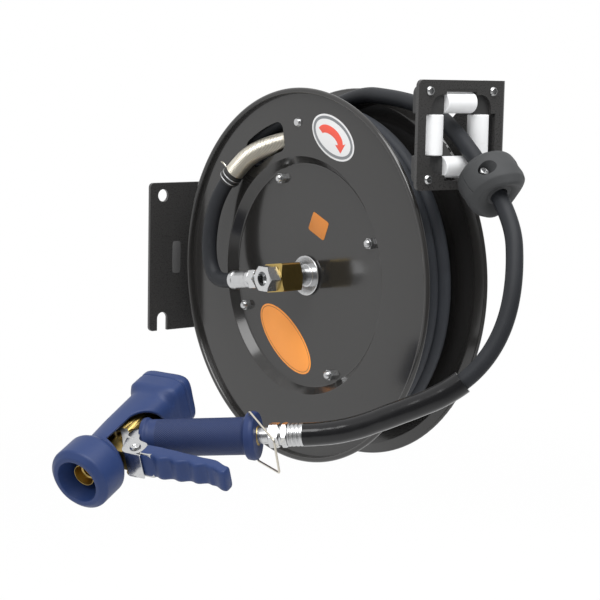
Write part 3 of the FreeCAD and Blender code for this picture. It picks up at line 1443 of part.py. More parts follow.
PARTS = {
    "wall_plate": wall_plate,
    "pedestal_arm": pedestal_arm,
    "guide_arm": guide_arm,
    "roller_corner_holders": corner_holders,
    "roller_pins": roller_pins,
    "guide_screws": guide_screws,
    "front_flange": front_flange,
    "rear_flange": rear_flange,
    "drum_core": drum_core,
    "tie_rods": tie_rods,
    "acorn_nuts": acorn_nuts,
    "rear_nuts": rear_nuts,
    "ring_screw": ring_screw,
    "front_bearing": front_bearing,
    "rear_bearing": rear_bearing,
    "power_spring": power_spring,
    "spring_arbor": spring_arbor,
    "ratchet_wheel": ratchet_wheel,
    "spindle": spindle,
    "spindle_washer": spindle_washer,
    "spindle_nut": spindle_nut,
    "swivel_seals": swivel_seals,
    "inlet_port": inlet_port,
    "pawl": pawl,
    "pawl_pin": pawl_pin,
    "pawl_spring": pawl_spring,
    "swivel_body": swivel_body,
    "swivel_outlet": swivel_outlet,
    "riser_ferrule": riser_ferrule,
    "riser_hose": riser_hose,
    "guard_collar": guard_collar,
    "spring_guard": spring_guard,
    "hose_clamp": hose_clamp,
    "hose_inner_layers": inner_layers,
    "hose_winding": hose_winding,
    "hose_last_turn": hose_last_turn,
    "hose_free": hose_free,
    "hose_sleeve": hose_sleeve,
    "ball_screws": ball_screws,
    "hose_ferrule": end_ferrule,
    "hose_adapter": hose_adapter,
    "gun_body": gun_body,
    "gun_nozzle": gun_nozzle,
    "front_bumper": front_bumper,
    "barrel_cover": barrel_cover,
    "grip_sleeve": grip_sleeve,
    "lever_bracket": lever_bracket,
    "lever_grip": lever_grip,
    "lever_pin": lever_pin,
    "valve_stem": valve_stem,
    "bail": bail,
}

os.makedirs("parts", exist_ok=True)
for part_name, build in PARTS.items():
    save(part_name, build())
for roller_name, roller_centre, roller_direction in roller_lines():
    save("roller_" + roller_name, roller(roller_centre, roller_direction))
for half_name, half_side in (("ball_front_half", 1), ("ball_rear_half", -1)):
    save(half_name, ball_half(half_side))
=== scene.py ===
import logging
import math
from collections.abc import Callable, Mapping, Sequence
from dataclasses import dataclass, field
from enum import Enum

import bmesh
import bpy
import numpy as np
from mathutils import Matrix


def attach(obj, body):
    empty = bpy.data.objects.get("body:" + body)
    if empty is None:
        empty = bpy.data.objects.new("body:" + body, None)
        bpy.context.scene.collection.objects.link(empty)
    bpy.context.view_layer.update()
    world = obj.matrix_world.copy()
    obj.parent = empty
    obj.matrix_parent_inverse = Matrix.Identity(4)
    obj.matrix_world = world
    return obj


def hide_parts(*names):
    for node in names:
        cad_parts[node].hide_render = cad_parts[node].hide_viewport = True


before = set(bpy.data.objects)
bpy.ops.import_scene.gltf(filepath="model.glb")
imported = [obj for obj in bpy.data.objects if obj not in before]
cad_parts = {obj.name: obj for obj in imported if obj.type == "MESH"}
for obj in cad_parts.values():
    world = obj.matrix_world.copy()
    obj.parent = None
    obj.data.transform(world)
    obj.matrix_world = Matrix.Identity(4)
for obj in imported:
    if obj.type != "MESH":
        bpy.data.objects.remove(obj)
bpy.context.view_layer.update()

log = logging.getLogger("hose_reel")

Array = np.ndarray
Corner = tuple[float, float, float]
Colour = tuple[float, float, float, float]

MM = 0.001
TURN = 2 * math.pi
X_AXIS = np.array([1.0, 0.0, 0.0])
Y_AXIS = np.array([0.0, 1.0, 0.0])
Z_AXIS = np.array([0.0, 0.0, 1.0])

# Places that several sub-assemblies share, in millimetres in the shared frame
DRUM_Y = -225.0
RIM_FRONT_X = -49.0
RING_FACE_X = -43.0
DISC_FACE_X = -34.0
WALL_PLATE_Y = -4.0
HOSE_RADIUS = 8.25


# Vectors, outlines and lines

def unit(vector: Array | Sequence[float]) -> Array:
    """Vectors of length one along the last axis."""
    vector = np.asarray(vector, float)
    return vector / np.linalg.norm(vector, axis=-1, keepdims=True)


def smooth(low: float, high: float, value: Array) -> Array:
    """Share from 0 at low to 1 at high, by 3t squared less 2t cubed."""
    t = np.clip((value - low) / (high - low), 0.0, 1.0)
    return t * t * (3.0 - 2.0 * t)


def on_drum(x: Array | float, radius: Array | float, degrees: Array | float) -> Array:
    """Points round the drum's axis: 0 degrees away from the wall, 90 up.

    Args:
        x: Place along the drum's axis.
        radius: Distance from the axis.
        degrees: Angle round the axis.

    Returns:
        Points (x, -225 - r cos a, r sin a), one per entry of the broadcast arguments.
    """
    x, radius, turn = np.broadcast_arrays(x, radius, np.radians(degrees))
    return np.stack([x, DRUM_Y - radius * np.cos(turn), radius * np.sin(turn)], axis=-1)


def rounded(corners: Sequence[Corner], closed: bool = True, steps: int = 6) -> Array:
    """Outline through corners (a, b, radius), each replaced by the arc that touches both its sides.

    Args:
        corners: Corner points with their rounding radius; 0 leaves a corner sharp.
        closed: Whether the last corner joins the first; on an open outline its ends stay sharp.
        steps: Spans of each arc.

    Returns:
        Points (n, 2) in the corners' order.
    """
    places = np.array([c[:2] for c in corners], float)
    pieces: list[Array] = []
    for i, (place, corner) in enumerate(zip(places, corners)):
        radius = corner[2]
        if radius == 0 or (not closed and i in (0, len(places) - 1)):
            pieces.append(place[None])
            continue
        before, after = unit(places[i - 1] - place), unit(places[(i + 1) % len(places)] - place)
        half = math.acos(float(np.clip(before @ after, -1, 1))) / 2
        centre = place + unit(before + after) * (radius / math.sin(half))
        share = np.linspace(0, 1, steps + 1)[:, None]
        tangents = place + before * radius / math.tan(half), place + after * radius / math.tan(half)
        chord = tangents[0] * (1 - share) + tangents[1] * share
        pieces.append(centre + unit(chord - centre) * radius)
    return np.concatenate(pieces)


def ellipse(half_a: float, half_b: float, count: int = 96, power: float = 2.0) -> Array:
    """Closed outline |a / A|^n + |b / B|^n = 1, an ellipse for power 2 and squarer above it."""
    turn = np.arange(count) * TURN / count
    cosine, sine = np.cos(turn), np.sin(turn)
    reach = (np.abs(cosine / half_a) ** power + np.abs(sine / half_b) ** power) ** (-1 / power)
    return np.stack([reach * cosine, reach * sine], axis=-1)


def offset(outline: Array, distance: float) -> Array:
    """Closed outline moved outward by a distance along its own normals, inward where it is negative."""
    following = np.roll(outline, -1, axis=0)
    along = unit(following - np.roll(outline, 1, axis=0))
    area = np.sum(outline[:, 0] * following[:, 1] - following[:, 0] * outline[:, 1])
    return outline + np.stack([along[:, 1], -along[:, 0]], axis=-1) * distance * np.sign(area)


def filled(outline: Array, step: float = 1.5) -> Array:
    """Closed outline with points added along its long sides, so that a bend of the form can follow it."""
    pieces = [np.linspace(a, b, max(2, int(np.linalg.norm(b - a) / step) + 1))[:-1]
              for a, b in zip(outline, np.roll(outline, -1, axis=0))]
    return np.concatenate(pieces)


def nurbs_line(route: Array, step: float) -> Array:
    """Evenly spaced points of the smooth line that a route's NURBS spline makes.

    Args:
        route: Control points in millimetres.
        step: Wanted spacing of the points in millimetres.

    Returns:
        Points (n, 3) at equal distances along the line.
    """
    curve = bpy.data.curves.new("route_line", "CURVE")
    curve.dimensions = "3D"
    curve.resolution_u = 40
    add_route(curve, route)
    holder = bpy.data.objects.new("route_line", curve)
    mesh = bpy.data.meshes.new_from_object(holder)
    line = np.empty(len(mesh.vertices) * 3)
    mesh.vertices.foreach_get("co", line)
    line = line.reshape(-1, 3) / MM
    bpy.data.meshes.remove(mesh)
    bpy.data.objects.remove(holder)
    bpy.data.curves.remove(curve)
    return even(line, step)


def add_route(curve: bpy.types.Curve, route: Array) -> None:
    """Adds a route to a curve as one open NURBS spline of order 3 that reaches both its end points."""
    spline = curve.splines.new("NURBS")
    spline.points.add(len(route) - 1)
    spline.points.foreach_set("co", np.column_stack([route * MM, np.ones(len(route))]).ravel())
    spline.order_u = 3
    spline.use_endpoint_u = True


def lengths(line: Array) -> Array:
    """Distance of each point along a line from its start."""
    return np.concatenate([[0.0], np.cumsum(np.linalg.norm(np.diff(line, axis=0), axis=1))])


def places_at(line: Array, marks: Array) -> Array:
    """Places on a line at distances along it."""
    along = lengths(line)
    return np.stack([np.interp(marks, along, line[:, i]) for i in range(3)], axis=-1)


def even(line: Array, step: float, start: float = 0.0, end: float | None = None) -> Array:
    """Part of a line between two distances along it, in equal steps near a wanted one."""
    stop = lengths(line)[-1] if end is None else end
    return places_at(line, np.linspace(start, stop, max(2, round((stop - start) / step) + 1)))


def nearest(line: Array, place: Array) -> float:
    """Distance along a line of its point that is nearest to a place."""
    return float(lengths(line)[np.argmin(np.linalg.norm(line - place, axis=1))])


@dataclass(frozen=True)
class Line:
    """A straight line with two directions across it."""

    start: Array
    along: Array
    first: Array
    second: Array

    @staticmethod
    def through(start: Array | Sequence[float], along: Array | Sequence[float],
                reference: Array | Sequence[float] = (0.0, 0.0, 1.0)) -> "Line":
        """Line from a start; its first cross direction is the reference less its share along the line."""
        direction = unit(along)
        first = unit(np.asarray(reference, float) - direction * (np.asarray(reference, float) @ direction))
        return Line(np.asarray(start, float), direction, first, np.cross(direction, first))

    def at(self, along: Array | float, radius: Array | float, turn: Array | float) -> Array:
        """Points at a distance along the line, and a radius and angle in radians round it."""
        along, radius, turn = np.broadcast_arrays(along, radius, turn)
        return (self.start + along[..., None] * self.along + (radius * np.cos(turn))[..., None] * self.first
                + (radius * np.sin(turn))[..., None] * self.second)


# Skins: grids that become meshes

@dataclass
class Skin:
    """Points and faces of one piece in millimetres, gathered grid by grid."""

    points: list[Array] = field(default_factory=list)
    quads: list[Array] = field(default_factory=list)
    quad_uv: list[Array] = field(default_factory=list)
    ends: list[Array] = field(default_factory=list)
    count: int = 0

    def grid(self, places: Array, ring: bool = True, loop: bool = False, keep: Array | None = None,
             unwrap: tuple[float, float] = (1.0, 1.0), marks: Array | None = None) -> Array:
        """Adds a grid of points joined by four-sided faces.

        Args:
            places: Points (rows, columns, 3).
            ring: Whether the last column joins the first.
            loop: Whether the last row joins the first.
            keep: Mask (rows, columns) of the faces to make, or None for all.
            unwrap: Size of the grid in the UV map, round it and along it.
            marks: Place of each row in the UV map, one more than the rows for a loop; even if None.

        Returns:
            Index of each point (rows, columns).
        """
        rows, columns = places.shape[:2]
        index = np.arange(rows * columns).reshape(rows, columns) + self.count
        row, column = np.meshgrid(np.arange(rows if loop else rows - 1),
                                  np.arange(columns if ring else columns - 1), indexing="ij")
        below, beside = (row + 1) % rows, (column + 1) % columns
        quads = np.stack([index[row, column], index[row, beside], index[below, beside], index[below, column]],
                         axis=-1)
        stations = np.arange(rows + 1) / rows * unwrap[1] if marks is None else marks
        u, v = column / columns * unwrap[0], stations[row]
        du, above = unwrap[0] / columns, stations[row + 1]
        uv = np.stack([np.stack([u, v], -1), np.stack([u + du, v], -1), np.stack([u + du, above], -1),
                       np.stack([u, above], -1)], axis=-2)
        chosen = np.ones(row.shape, bool) if keep is None else keep[:row.shape[0], :row.shape[1]]
        self.points.append(places.reshape(-1, 3))
        self.quads.append(quads[chosen])
        self.quad_uv.append(uv[chosen])
        self.count += rows * columns
        return index

    def cap(self, ring: Array) -> None:
        """Closes a ring of points with one flat face."""
        self.ends.append(np.asarray(ring))

    def capped_grid(self, places: Array, unwrap: tuple[float, float] = (1.0, 1.0),
                    marks: Array | None = None) -> Array:
        """Adds a grid of rings and closes its first and last ring."""
        index = self.grid(places, unwrap=unwrap, marks=marks)
        self.cap(index[0])
        self.cap(index[-1])
        return index

    def turned(self, line: Line, profile: Array, bored: bool = True, count: int = 96,
               warp: Callable[[Array, Array, Array], tuple[Array, Array]] | None = None) -> "Skin":
        """Adds a turned form: each profile point (a, r) goes round the line at a along it and r from it.

        Args:
            line: The axis.
            profile: Points (n, 2); a closed outline if bored, else from one end of the axis to the other.
            bored: Whether the outline is closed, so that the form has a hole.
            count: Points round the axis.
            warp: Changes (a, r) for the angle in radians, for forms that aren't quite round.

        Returns:
            This skin.
        """
        turn = np.arange(count) * TURN / count
        along, radius, angle = np.broadcast_arrays(profile[:, 0, None], profile[:, 1, None], turn[None])
        if warp is not None:
            along, radius = warp(along, radius, angle)
        places = line.at(along, radius, angle)
        marks = lengths(np.concatenate([profile, profile[:1]]))
        size = (TURN * float(profile[:, 1].max()), float(marks[-1]))
        if bored:
            self.grid(places, loop=True, unwrap=size, marks=marks)
        else:
            self.capped_grid(places, unwrap=size, marks=marks)
        return self

    def tube(self, line: Array, radius: Array | float, reference: Array | Sequence[float], count: int = 24,
             bore: float = 0.0, closed: bool = False) -> "Skin":
        """Adds a tube: station plus r cos t times first plus r sin t times second, all along a line.

        First is the reference direction less its share along the tangent; second is tangent cross first.

        Args:
            line: Centre line (n, 3).
            radius: Radius, one or one per point.
            reference: Direction that is nowhere parallel to the line.
            count: Points round the tube.
            bore: Radius of the hole through it, 0 for none.
            closed: Whether the line is a closed ring.

        Returns:
            This skin.
        """
        if closed:
            tangent = unit(np.roll(line, -1, axis=0) - np.roll(line, 1, axis=0))
        else:
            tangent = unit(np.gradient(line, axis=0))
        guide = np.asarray(reference, float)
        first = unit(guide - tangent * (tangent @ guide)[:, None])
        second = np.cross(tangent, first)
        turn = np.arange(count) * TURN / count
        around = first[:, None] * np.cos(turn)[None, :, None] + second[:, None] * np.sin(turn)[None, :, None]
        size = (TURN * float(np.max(radius)), float(lengths(line)[-1]))
        outside = line[:, None] + around * np.broadcast_to(radius, len(line))[:, None, None]
        if closed:
            self.grid(outside, loop=True, unwrap=size)
        elif bore == 0:
            self.capped_grid(outside, unwrap=size)
        else:
            inside = line[:, None] + around * bore
            self.grid(np.concatenate([outside, inside[::-1]]), loop=True, unwrap=(size[0], 2 * size[1]))
        return self

    def slab(self, outline: Array, place: Array, a_axis: Array, b_axis: Array, low: float, high: float,
             edge: float = 0.05) -> "Skin":
        """Adds a flat piece: the outline at two heights over a plane, drawn in a little at the top.

        Args:
            outline: Closed outline (n, 2) in the plane's two directions.
            place: Origin of the plane.
            a_axis: First direction in the plane.
            b_axis: Second direction in the plane; a cross b points out of the surface.
            low: Height of the underside.
            high: Height of the top.
            edge: Width of the rounded edge.

        Returns:
            This skin.
        """
        out = np.cross(a_axis, b_axis)
        levels = ((low, 0.0), (high - edge, 0.0), (high - 0.3 * edge, 0.3 * edge), (high, edge))
        rings = []
        for height, inset in levels:
            flat = offset(outline, -inset)
            rings.append(place + flat[:, :1] * a_axis + flat[:, 1:] * b_axis + height * out)
        self.capped_grid(np.stack(rings))
        return self

    def frame_ring(self, outer: Array, inner: Array, place: Array, a_axis: Array, b_axis: Array, low: float,
                   high: float) -> "Skin":
        """Adds a flat ring between two outlines with the same number of points, and returns this skin."""
        out = np.cross(a_axis, b_axis)
        rings = [place + flat[:, :1] * a_axis + flat[:, 1:] * b_axis + height * out
                 for flat, height in ((outer, low), (outer, high), (inner, high), (inner, low))]
        self.grid(np.stack(rings), loop=True)
        return self

    def both_sides(self, outline: Array, place: Array, a_axis: Array, b_axis: Array, low: float, high: float,
                   edge: float = 0.05) -> "Skin":
        """Adds a flat piece and its mirror image on the other side of the plane, and returns this skin."""
        self.slab(outline, place, a_axis, b_axis, low, high, edge)
        return self.slab(outline[:, ::-1], place, b_axis, a_axis, low, high, edge)

    def mesh(self, name: str, sharp: float = 32.0) -> bpy.types.Object:
        """Makes the mesh object, in metres, with its seams merged and its faces outward.

        Args:
            name: The piece's name.
            sharp: Angle between faces, in degrees, above which an edge stays sharp.

        Returns:
            The new object, at the origin.
        """
        quads = np.concatenate(self.quads)
        quad_uv = np.concatenate(self.quad_uv)
        faces = quads.tolist() + [end.tolist() for end in self.ends]
        data = bpy.data.meshes.new(name)
        data.from_pydata((np.concatenate(self.points) * MM).tolist(), [], faces)
        layer = data.uv_layers.new(name="unwrap")
        uv = np.zeros((len(data.loops), 2), np.float32)
        uv[:quad_uv.shape[0] * 4] = quad_uv.reshape(-1, 2)
        layer.data.foreach_set("uv", uv.ravel())
        tidy(data)
        shade(data, sharp)
        return linked(name, data)


def linked(name: str, data: bpy.types.ID) -> bpy.types.Object:
    """A new object in the scene."""
    thing = bpy.data.objects.new(name, data)
    bpy.context.scene.collection.objects.link(thing)
    return thing


def tidy(data: bpy.types.Mesh, distance: float = 2e-7, flat: float | None = None) -> None:
    """Merges points that coincide and turns all faces outward.

    Args:
        data: The mesh.
        distance: Distance in metres up to which points are one.
        flat: Angle in degrees up to which faces that meet are joined, or None to join none.
    """
    work = bmesh.new()
    work.from_mesh(data)
    bmesh.ops.remove_doubles(work, verts=work.verts, dist=distance)
    bmesh.ops.recalc_face_normals(work, faces=work.faces)
    if flat is not None:
        bmesh.ops.dissolve_limit(work, angle_limit=math.radians(flat), verts=work.verts, edges=work.edges)
    work.to_mesh(data)
    work.free()


def shade(data: bpy.types.Mesh, sharp: float) -> None:
    """Smooth shading with edges sharp above an angle in degrees."""
    data.shade_smooth()
    data.set_sharp_from_angle(angle=math.radians(sharp))


def bake_modifier(piece: bpy.types.Object) -> None:
    """Replaces a piece's mesh by what its modifiers make of it."""
    graph = bpy.context.evaluated_depsgraph_get()
    done = bpy.data.meshes.new_from_object(piece.evaluated_get(graph), depsgraph=graph)
    piece.modifiers.clear()
    piece.data = done


def carve(piece: bpy.types.Object, cutter: bpy.types.Object, sharp: float = 32.0) -> None:
    """Cuts a closed mesh out of a piece and removes the cutter."""
    cut = piece.modifiers.new("cut", "BOOLEAN")
    cut.operation = "DIFFERENCE"
    cut.solver = "EXACT"
    cut.object = cutter
    bake_modifier(piece)
    bpy.data.objects.remove(cutter)
    shade(piece.data, sharp)


def softened(node: str, name: str, width: float, segments: int = 2) -> bpy.types.Object:
    """A copy of a CAD node with its edges rounded, to stand for it.

    The copy's loose triangles are merged and its flat faces joined first; a bevel then rounds the edges.

    Args:
        node: The CAD node.
        name: Name of the new piece.
        width: Width of the rounding in millimetres.
        segments: Spans across the rounding.

    Returns:
        The new object, at the origin.
    """
    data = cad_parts[node].data.copy()
    data.name = name
    tidy(data, 2e-6, flat=1.0)
    data.materials.clear()
    shade(data, 28.0)
    piece = linked(name, data)
    bevel = piece.modifiers.new("edges", "BEVEL")
    bevel.width = width * MM
    bevel.segments = segments
    bevel.limit_method = "ANGLE"
    bevel.angle_limit = math.radians(35)
    bevel.use_clamp_overlap = True
    bevel.harden_normals = True
    bake_modifier(piece)
    return piece


# Shader values and nodes

class Value:
    """A shader socket that takes part in Python expressions; each operator adds its Math node."""

    def __init__(self, nodes: "Nodes", socket: bpy.types.NodeSocket) -> None:
        """Keeps the socket and the tree that it belongs to."""
        self.nodes = nodes
        self.socket = socket

    def maths(self, operation: str, *others: "Value | float") -> "Value":
        """A Math node of this value and the others, in order."""
        return self.nodes.maths(operation, self, *others)

    def __add__(self, other: "Value | float") -> "Value":
        """Sum."""
        return self.maths("ADD", other)

    def __radd__(self, other: float) -> "Value":
        """Sum with a number on the left."""
        return self.nodes.maths("ADD", other, self)

    def __sub__(self, other: "Value | float") -> "Value":
        """Difference."""
        return self.maths("SUBTRACT", other)

    def __rsub__(self, other: float) -> "Value":
        """Difference with a number on the left."""
        return self.nodes.maths("SUBTRACT", other, self)

    def __mul__(self, other: "Value | float") -> "Value":
        """Product."""
        return self.maths("MULTIPLY", other)

    def __rmul__(self, other: float) -> "Value":
        """Product with a number on the left."""
        return self.nodes.maths("MULTIPLY", other, self)

    def sine(self) -> "Value":
        """Sine of the value in radians."""
        return self.maths("SINE")

    def above(self, low: float, high: float) -> "Value":
        """Smooth share from 0 at low to 1 at high."""
        return self.nodes.value("ShaderNodeMapRange", {"interpolation_type": "SMOOTHSTEP"},
                                {0: self, 1: low, 2: high, 3: 0.0, 4: 1.0})


class Nodes:
    """The node tree of a material or world, emptied and filled by a few short calls."""

    def __init__(self, owner: bpy.types.Material | bpy.types.World) -> None:
        """Empties the owner's tree."""
        self.owner = owner
        owner.use_nodes = True
        self.tree = owner.node_tree
        self.tree.nodes.clear()

    @classmethod
    def material(cls, name: str) -> "Nodes":
        """The empty tree of a new material."""
        return cls(bpy.data.materials.new(name))

    def make(self, kind: str, settings: Mapping[str, object] | None = None,
             inputs: Mapping[int | str, object] | None = None) -> bpy.types.Node:
        """Adds a node: its settings first, then its sockets' values or links.

        Args:
            kind: The node's type.
            settings: Properties by name; "stops" is a list of (place, colour) for a ramp.
            inputs: Numbers, colours or Values by socket name or index.

        Returns:
            The node.
        """
        node = self.tree.nodes.new(kind)
        for key, setting in (settings or {}).items():
            if key == "stops":
                ramp = node.color_ramp
                while len(ramp.elements) < len(setting):
                    ramp.elements.new(0.5)
                for element, (place, colour) in zip(ramp.elements, setting):
                    element.position, element.color = place, colour
            else:
                setattr(node, key, setting)
        for key, given in (inputs or {}).items():
            if isinstance(given, Value):
                self.tree.links.new(given.socket, node.inputs[key])
            else:
                node.inputs[key].default_value = given
        return node

    def value(self, kind: str, settings: Mapping[str, object] | None = None,
              inputs: Mapping[int | str, object] | None = None, output: int | str = 0) -> Value:
        """Adds a node and returns one of its outputs."""
        return Value(self, self.make(kind, settings, inputs).outputs[output])

    def maths(self, operation: str, *terms: "Value | float") -> Value:
        """A Math node of numbers and values, in order."""
        return self.value("ShaderNodeMath", {"operation": operation}, dict(enumerate(terms)))

    def place(self) -> Value:
        """Object coordinates in metres."""
        return self.value("ShaderNodeTexCoord", output="Object")

    def unwrap(self) -> Value:
        """The piece's own UV map, in millimetres round and along it."""
        return self.value("ShaderNodeTexCoord", output="UV")

    def axes(self, vector: Value) -> tuple[Value, Value, Value]:
        """The three parts of a vector."""
        node = self.make("ShaderNodeSeparateXYZ", None, {0: vector})
        return Value(self, node.outputs[0]), Value(self, node.outputs[1]), Value(self, node.outputs[2])

    def stretched(self, vector: Value, scale: tuple[float, float, float],
                  turn: tuple[float, float, float] = (0.0, 0.0, 0.0)) -> Value:
        """Coordinates turned and scaled along their axes by a Mapping node."""
        return self.value("ShaderNodeMapping", None, {"Vector": vector, "Scale": scale, "Rotation": turn})

    def noise(self, vector: Value, scale: float, detail: float = 3.0, roughness: float = 0.5) -> Value:
        """Noise from 0 to 1."""
        return self.value("ShaderNodeTexNoise", None,
                          {"Vector": vector, "Scale": scale, "Detail": detail, "Roughness": roughness})

    def mix(self, share: Value, first: Colour | Value, second: Colour | Value) -> Value:
        """Colour between two, by a share from 0 to 1."""
        return self.value("ShaderNodeMix", {"data_type": "RGBA"}, {0: share, 6: first, 7: second}, 2)

    def tones(self, share: Value, colour: Colour, low: float, high: float) -> Value:
        """A colour times a factor between two, by a share from 0 to 1."""
        return self.mix(share, scaled(colour, low), scaled(colour, high))

    def marks(self, vector: Value, stretch: tuple[float, float, float], detail: float, roughness: float,
              low: float, high: float) -> Value:
        """Sparse marks: where stretched noise passes from a lower to a higher level."""
        return self.noise(self.stretched(vector, stretch), 1.0, detail, roughness).above(low, high)

    def bump(self, height: Value, distance: float, strength: float, normal: Value | None = None) -> Value:
        """Normal of a relief of a height from 0 to 1 and a depth in metres."""
        inputs: dict[int | str, object] = {"Height": height, "Distance": distance, "Strength": strength}
        if normal is not None:
            inputs["Normal"] = normal
        return self.value("ShaderNodeBump", None, inputs)

    def upward(self) -> Value:
        """How far the surface faces up: 1 on a level top, 0 on a wall or an underside."""
        _, _, z = self.axes(self.value("ShaderNodeNewGeometry", output="Normal"))
        return z.above(0.15, 1.0)

    def finish(self, **inputs: object) -> bpy.types.Material:
        """Adds the Principled shader with its inputs, underscores standing for spaces, and the output."""
        named = {name.replace("_", " "): given for name, given in inputs.items()}
        shader = self.make("ShaderNodeBsdfPrincipled", None, named)
        self.make("ShaderNodeOutputMaterial", None, {"Surface": Value(self, shader.outputs[0])})
        return self.owner


def grey(level: float, warmth: float = 0.0) -> Colour:
    """Linear grey, with red raised and blue lowered by a warmth."""
    return (level * (1 + warmth), level, level * (1 - warmth), 1.0)


def scaled(colour: Colour, factor: float) -> Colour:
    """A colour times a factor."""
    return (colour[0] * factor, colour[1] * factor, colour[2] * factor, 1.0)


# Finishes

@dataclass(frozen=True)
class PowderCoat:
    """Satin powder coat on pressed steel: orange-peel grain, faint cloudiness, dust on upper faces."""

    colour: Colour
    roughness: float
    grain: float = 0.25

    def material(self, name: str) -> bpy.types.Material:
        """The coat's material."""
        n = Nodes.material(name)
        place = n.place()
        cloud = n.noise(place, 11.0, 4.0, 0.55)
        speck = n.noise(place, 620.0, 2.0, 0.6).above(0.63, 0.72)
        dust = n.noise(place, 60.0, 5.0, 0.65).above(0.45, 0.8) * n.upward() * 0.35
        base = n.tones(cloud, self.colour, 0.93, 1.07)
        base = n.mix(speck * 0.2, base, scaled(self.colour, 1.3))
        base = n.mix(dust, base, grey(0.08, 0.05))
        peel = n.noise(place, 900.0, 2.0, 0.5)
        scuff = n.marks(place, (30.0, 240.0, 240.0), 4.0, 0.6, 0.62, 0.75)
        return n.finish(Base_Color=base, Roughness=self.roughness + peel * 0.08 - scuff * 0.05 + dust * 0.3,
                        Normal=n.bump(peel, 0.00003, self.grain), Specular_IOR_Level=0.61)


class RubberFace(Enum):
    """How a rubber surface is moulded."""

    SMOOTH = "smooth"
    KNURLED = "knurled"


@dataclass(frozen=True)
class MouldedRubber:
    """Moulded rubber: matt sheen, fine mould grain, rub marks, and knurling where asked, with painted shade
    in the knurl's grooves.
    """

    colour: Colour
    face: RubberFace = RubberFace.SMOOTH
    roughness: float = 0.45
    knurl_pitch: float = 2.4
    knurl_span: tuple[float, float] = (24.0, 112.0)
    specular: float = 0.3

    def material(self, name: str) -> bpy.types.Material:
        """The rubber's material."""
        n = Nodes.material(name)
        place = n.place()
        cloud = n.noise(place, 24.0, 4.0, 0.6)
        grain = n.noise(place, 1500.0, 2.0, 0.5)
        rub = n.marks(place, (90.0, 90.0, 30.0), 5.0, 0.65, 0.6, 0.78)
        base = n.tones(cloud, self.colour, 0.86, 1.14)
        base = n.mix(rub * 0.3, base, scaled(self.colour, 1.8))
        normal = n.bump(grain, 0.00005, 0.35)
        if self.face is RubberFace.KNURLED:
            across, along, _ = n.axes(n.unwrap())
            turn = TURN / self.knurl_pitch
            start, stop = self.knurl_span
            plain = 1.0 - along.above(start, start + 2.0) * (1.0 - along.above(stop - 2.0, stop))
            knurl = ((across * turn).sine() * (along * turn).sine()).above(-0.5, 0.7).maths("MAXIMUM", plain)
            # Painted shade: the knurl's grooves are darkened to 0.62 of the colour, on top of their bump.
            base = n.mix(1.0 - knurl, base, scaled(self.colour, 0.62))
            normal = n.bump(knurl, 0.0003, 0.7, normal)
        return n.finish(Base_Color=base, Roughness=self.roughness + cloud * 0.1 - rub * 0.08, Normal=normal,
                        Specular_IOR_Level=self.specular)


@dataclass(frozen=True)
class HoseCover:
    """Hose cover: near-black synthetic rubber with fine lengthwise extrusion lines and dusty scuffs."""

    colour: Colour = (0.0165, 0.018, 0.021, 1.0)
    roughness: float = 0.5

    def material(self, name: str) -> bpy.types.Material:
        """The cover's material, patterned along the piece's UV map."""
        n = Nodes.material(name)
        unwrap, place = n.unwrap(), n.place()
        drawn = n.noise(n.stretched(unwrap, (1.6, 0.02, 1.0)), 1.0, 3.0, 0.6)
        cloud = n.noise(place, 30.0, 4.0, 0.6)
        scuff = n.marks(unwrap, (0.25, 0.05, 1.0), 5.0, 0.7, 0.58, 0.8)
        base = n.tones(cloud, self.colour, 0.8, 1.25)
        base = n.mix(scuff * 0.4, base, scaled(self.colour, 2.4))
        fine = n.noise(place, 1300.0, 2.0, 0.5)
        normal = n.bump(drawn, 0.0001, 0.35, n.bump(fine, 0.00004, 0.3))
        return n.finish(Base_Color=base, Roughness=self.roughness + scuff * 0.12 + drawn * 0.06,
                        Normal=normal, Specular_IOR_Level=0.22)


@dataclass(frozen=True)
class GlossySleeve:
    """Glossy black plastic sleeve: slow surface waves and hairline scratches along it."""

    colour: Colour = (0.006, 0.006, 0.0068, 1.0)

    def material(self, name: str) -> bpy.types.Material:
        """The sleeve's material."""
        n = Nodes.material(name)
        unwrap = n.unwrap()
        wave = n.noise(n.stretched(unwrap, (0.05, 0.045, 1.0)), 1.0, 2.0, 0.4)
        scratch = n.marks(unwrap, (3.5, 0.03, 1.0), 3.0, 0.6, 0.62, 0.72)
        base = n.mix(scratch * 0.3, self.colour, grey(0.03))
        return n.finish(Base_Color=base, Roughness=0.12 + scratch * 0.18 + wave * 0.05,
                        Normal=n.bump(wave, 0.0012, 0.5), Specular_IOR_Level=0.36, Coat_Weight=0.15,
                        Coat_Roughness=0.08)


class MetalFace(Enum):
    """How a metal surface is worked: the stretch of its grain along X, Y and Z."""

    PLATED = (1.0, 1.0, 1.0)
    TURNED = (5.0, 1.0, 1.0)
    DRAWN = (1.0, 6.0, 1.0)


@dataclass(frozen=True)
class Metal:
    """Bare or plated metal: worked grain, cloudy tarnish and darker stains."""

    colour: Colour
    face: MetalFace = MetalFace.PLATED
    roughness: float = 0.25
    tarnish: float = 0.3
    grain: float = 180.0

    def material(self, name: str) -> bpy.types.Material:
        """The metal's material."""
        n = Nodes.material(name)
        place = n.place()
        worked = n.noise(n.stretched(place, self.face.value), self.grain, 4.0, 0.65)
        stain = n.noise(place, 55.0, 5.0, 0.65).above(0.45, 0.8)
        base = n.tones(worked, self.colour, 0.88, 1.06)
        base = n.mix(stain * self.tarnish, base, scaled(self.colour, 0.5))
        return n.finish(Base_Color=base, Metallic=1.0, Roughness=self.roughness + worked * 0.1 + stain * 0.1,
                        Normal=n.bump(worked, 0.00006, 0.18))


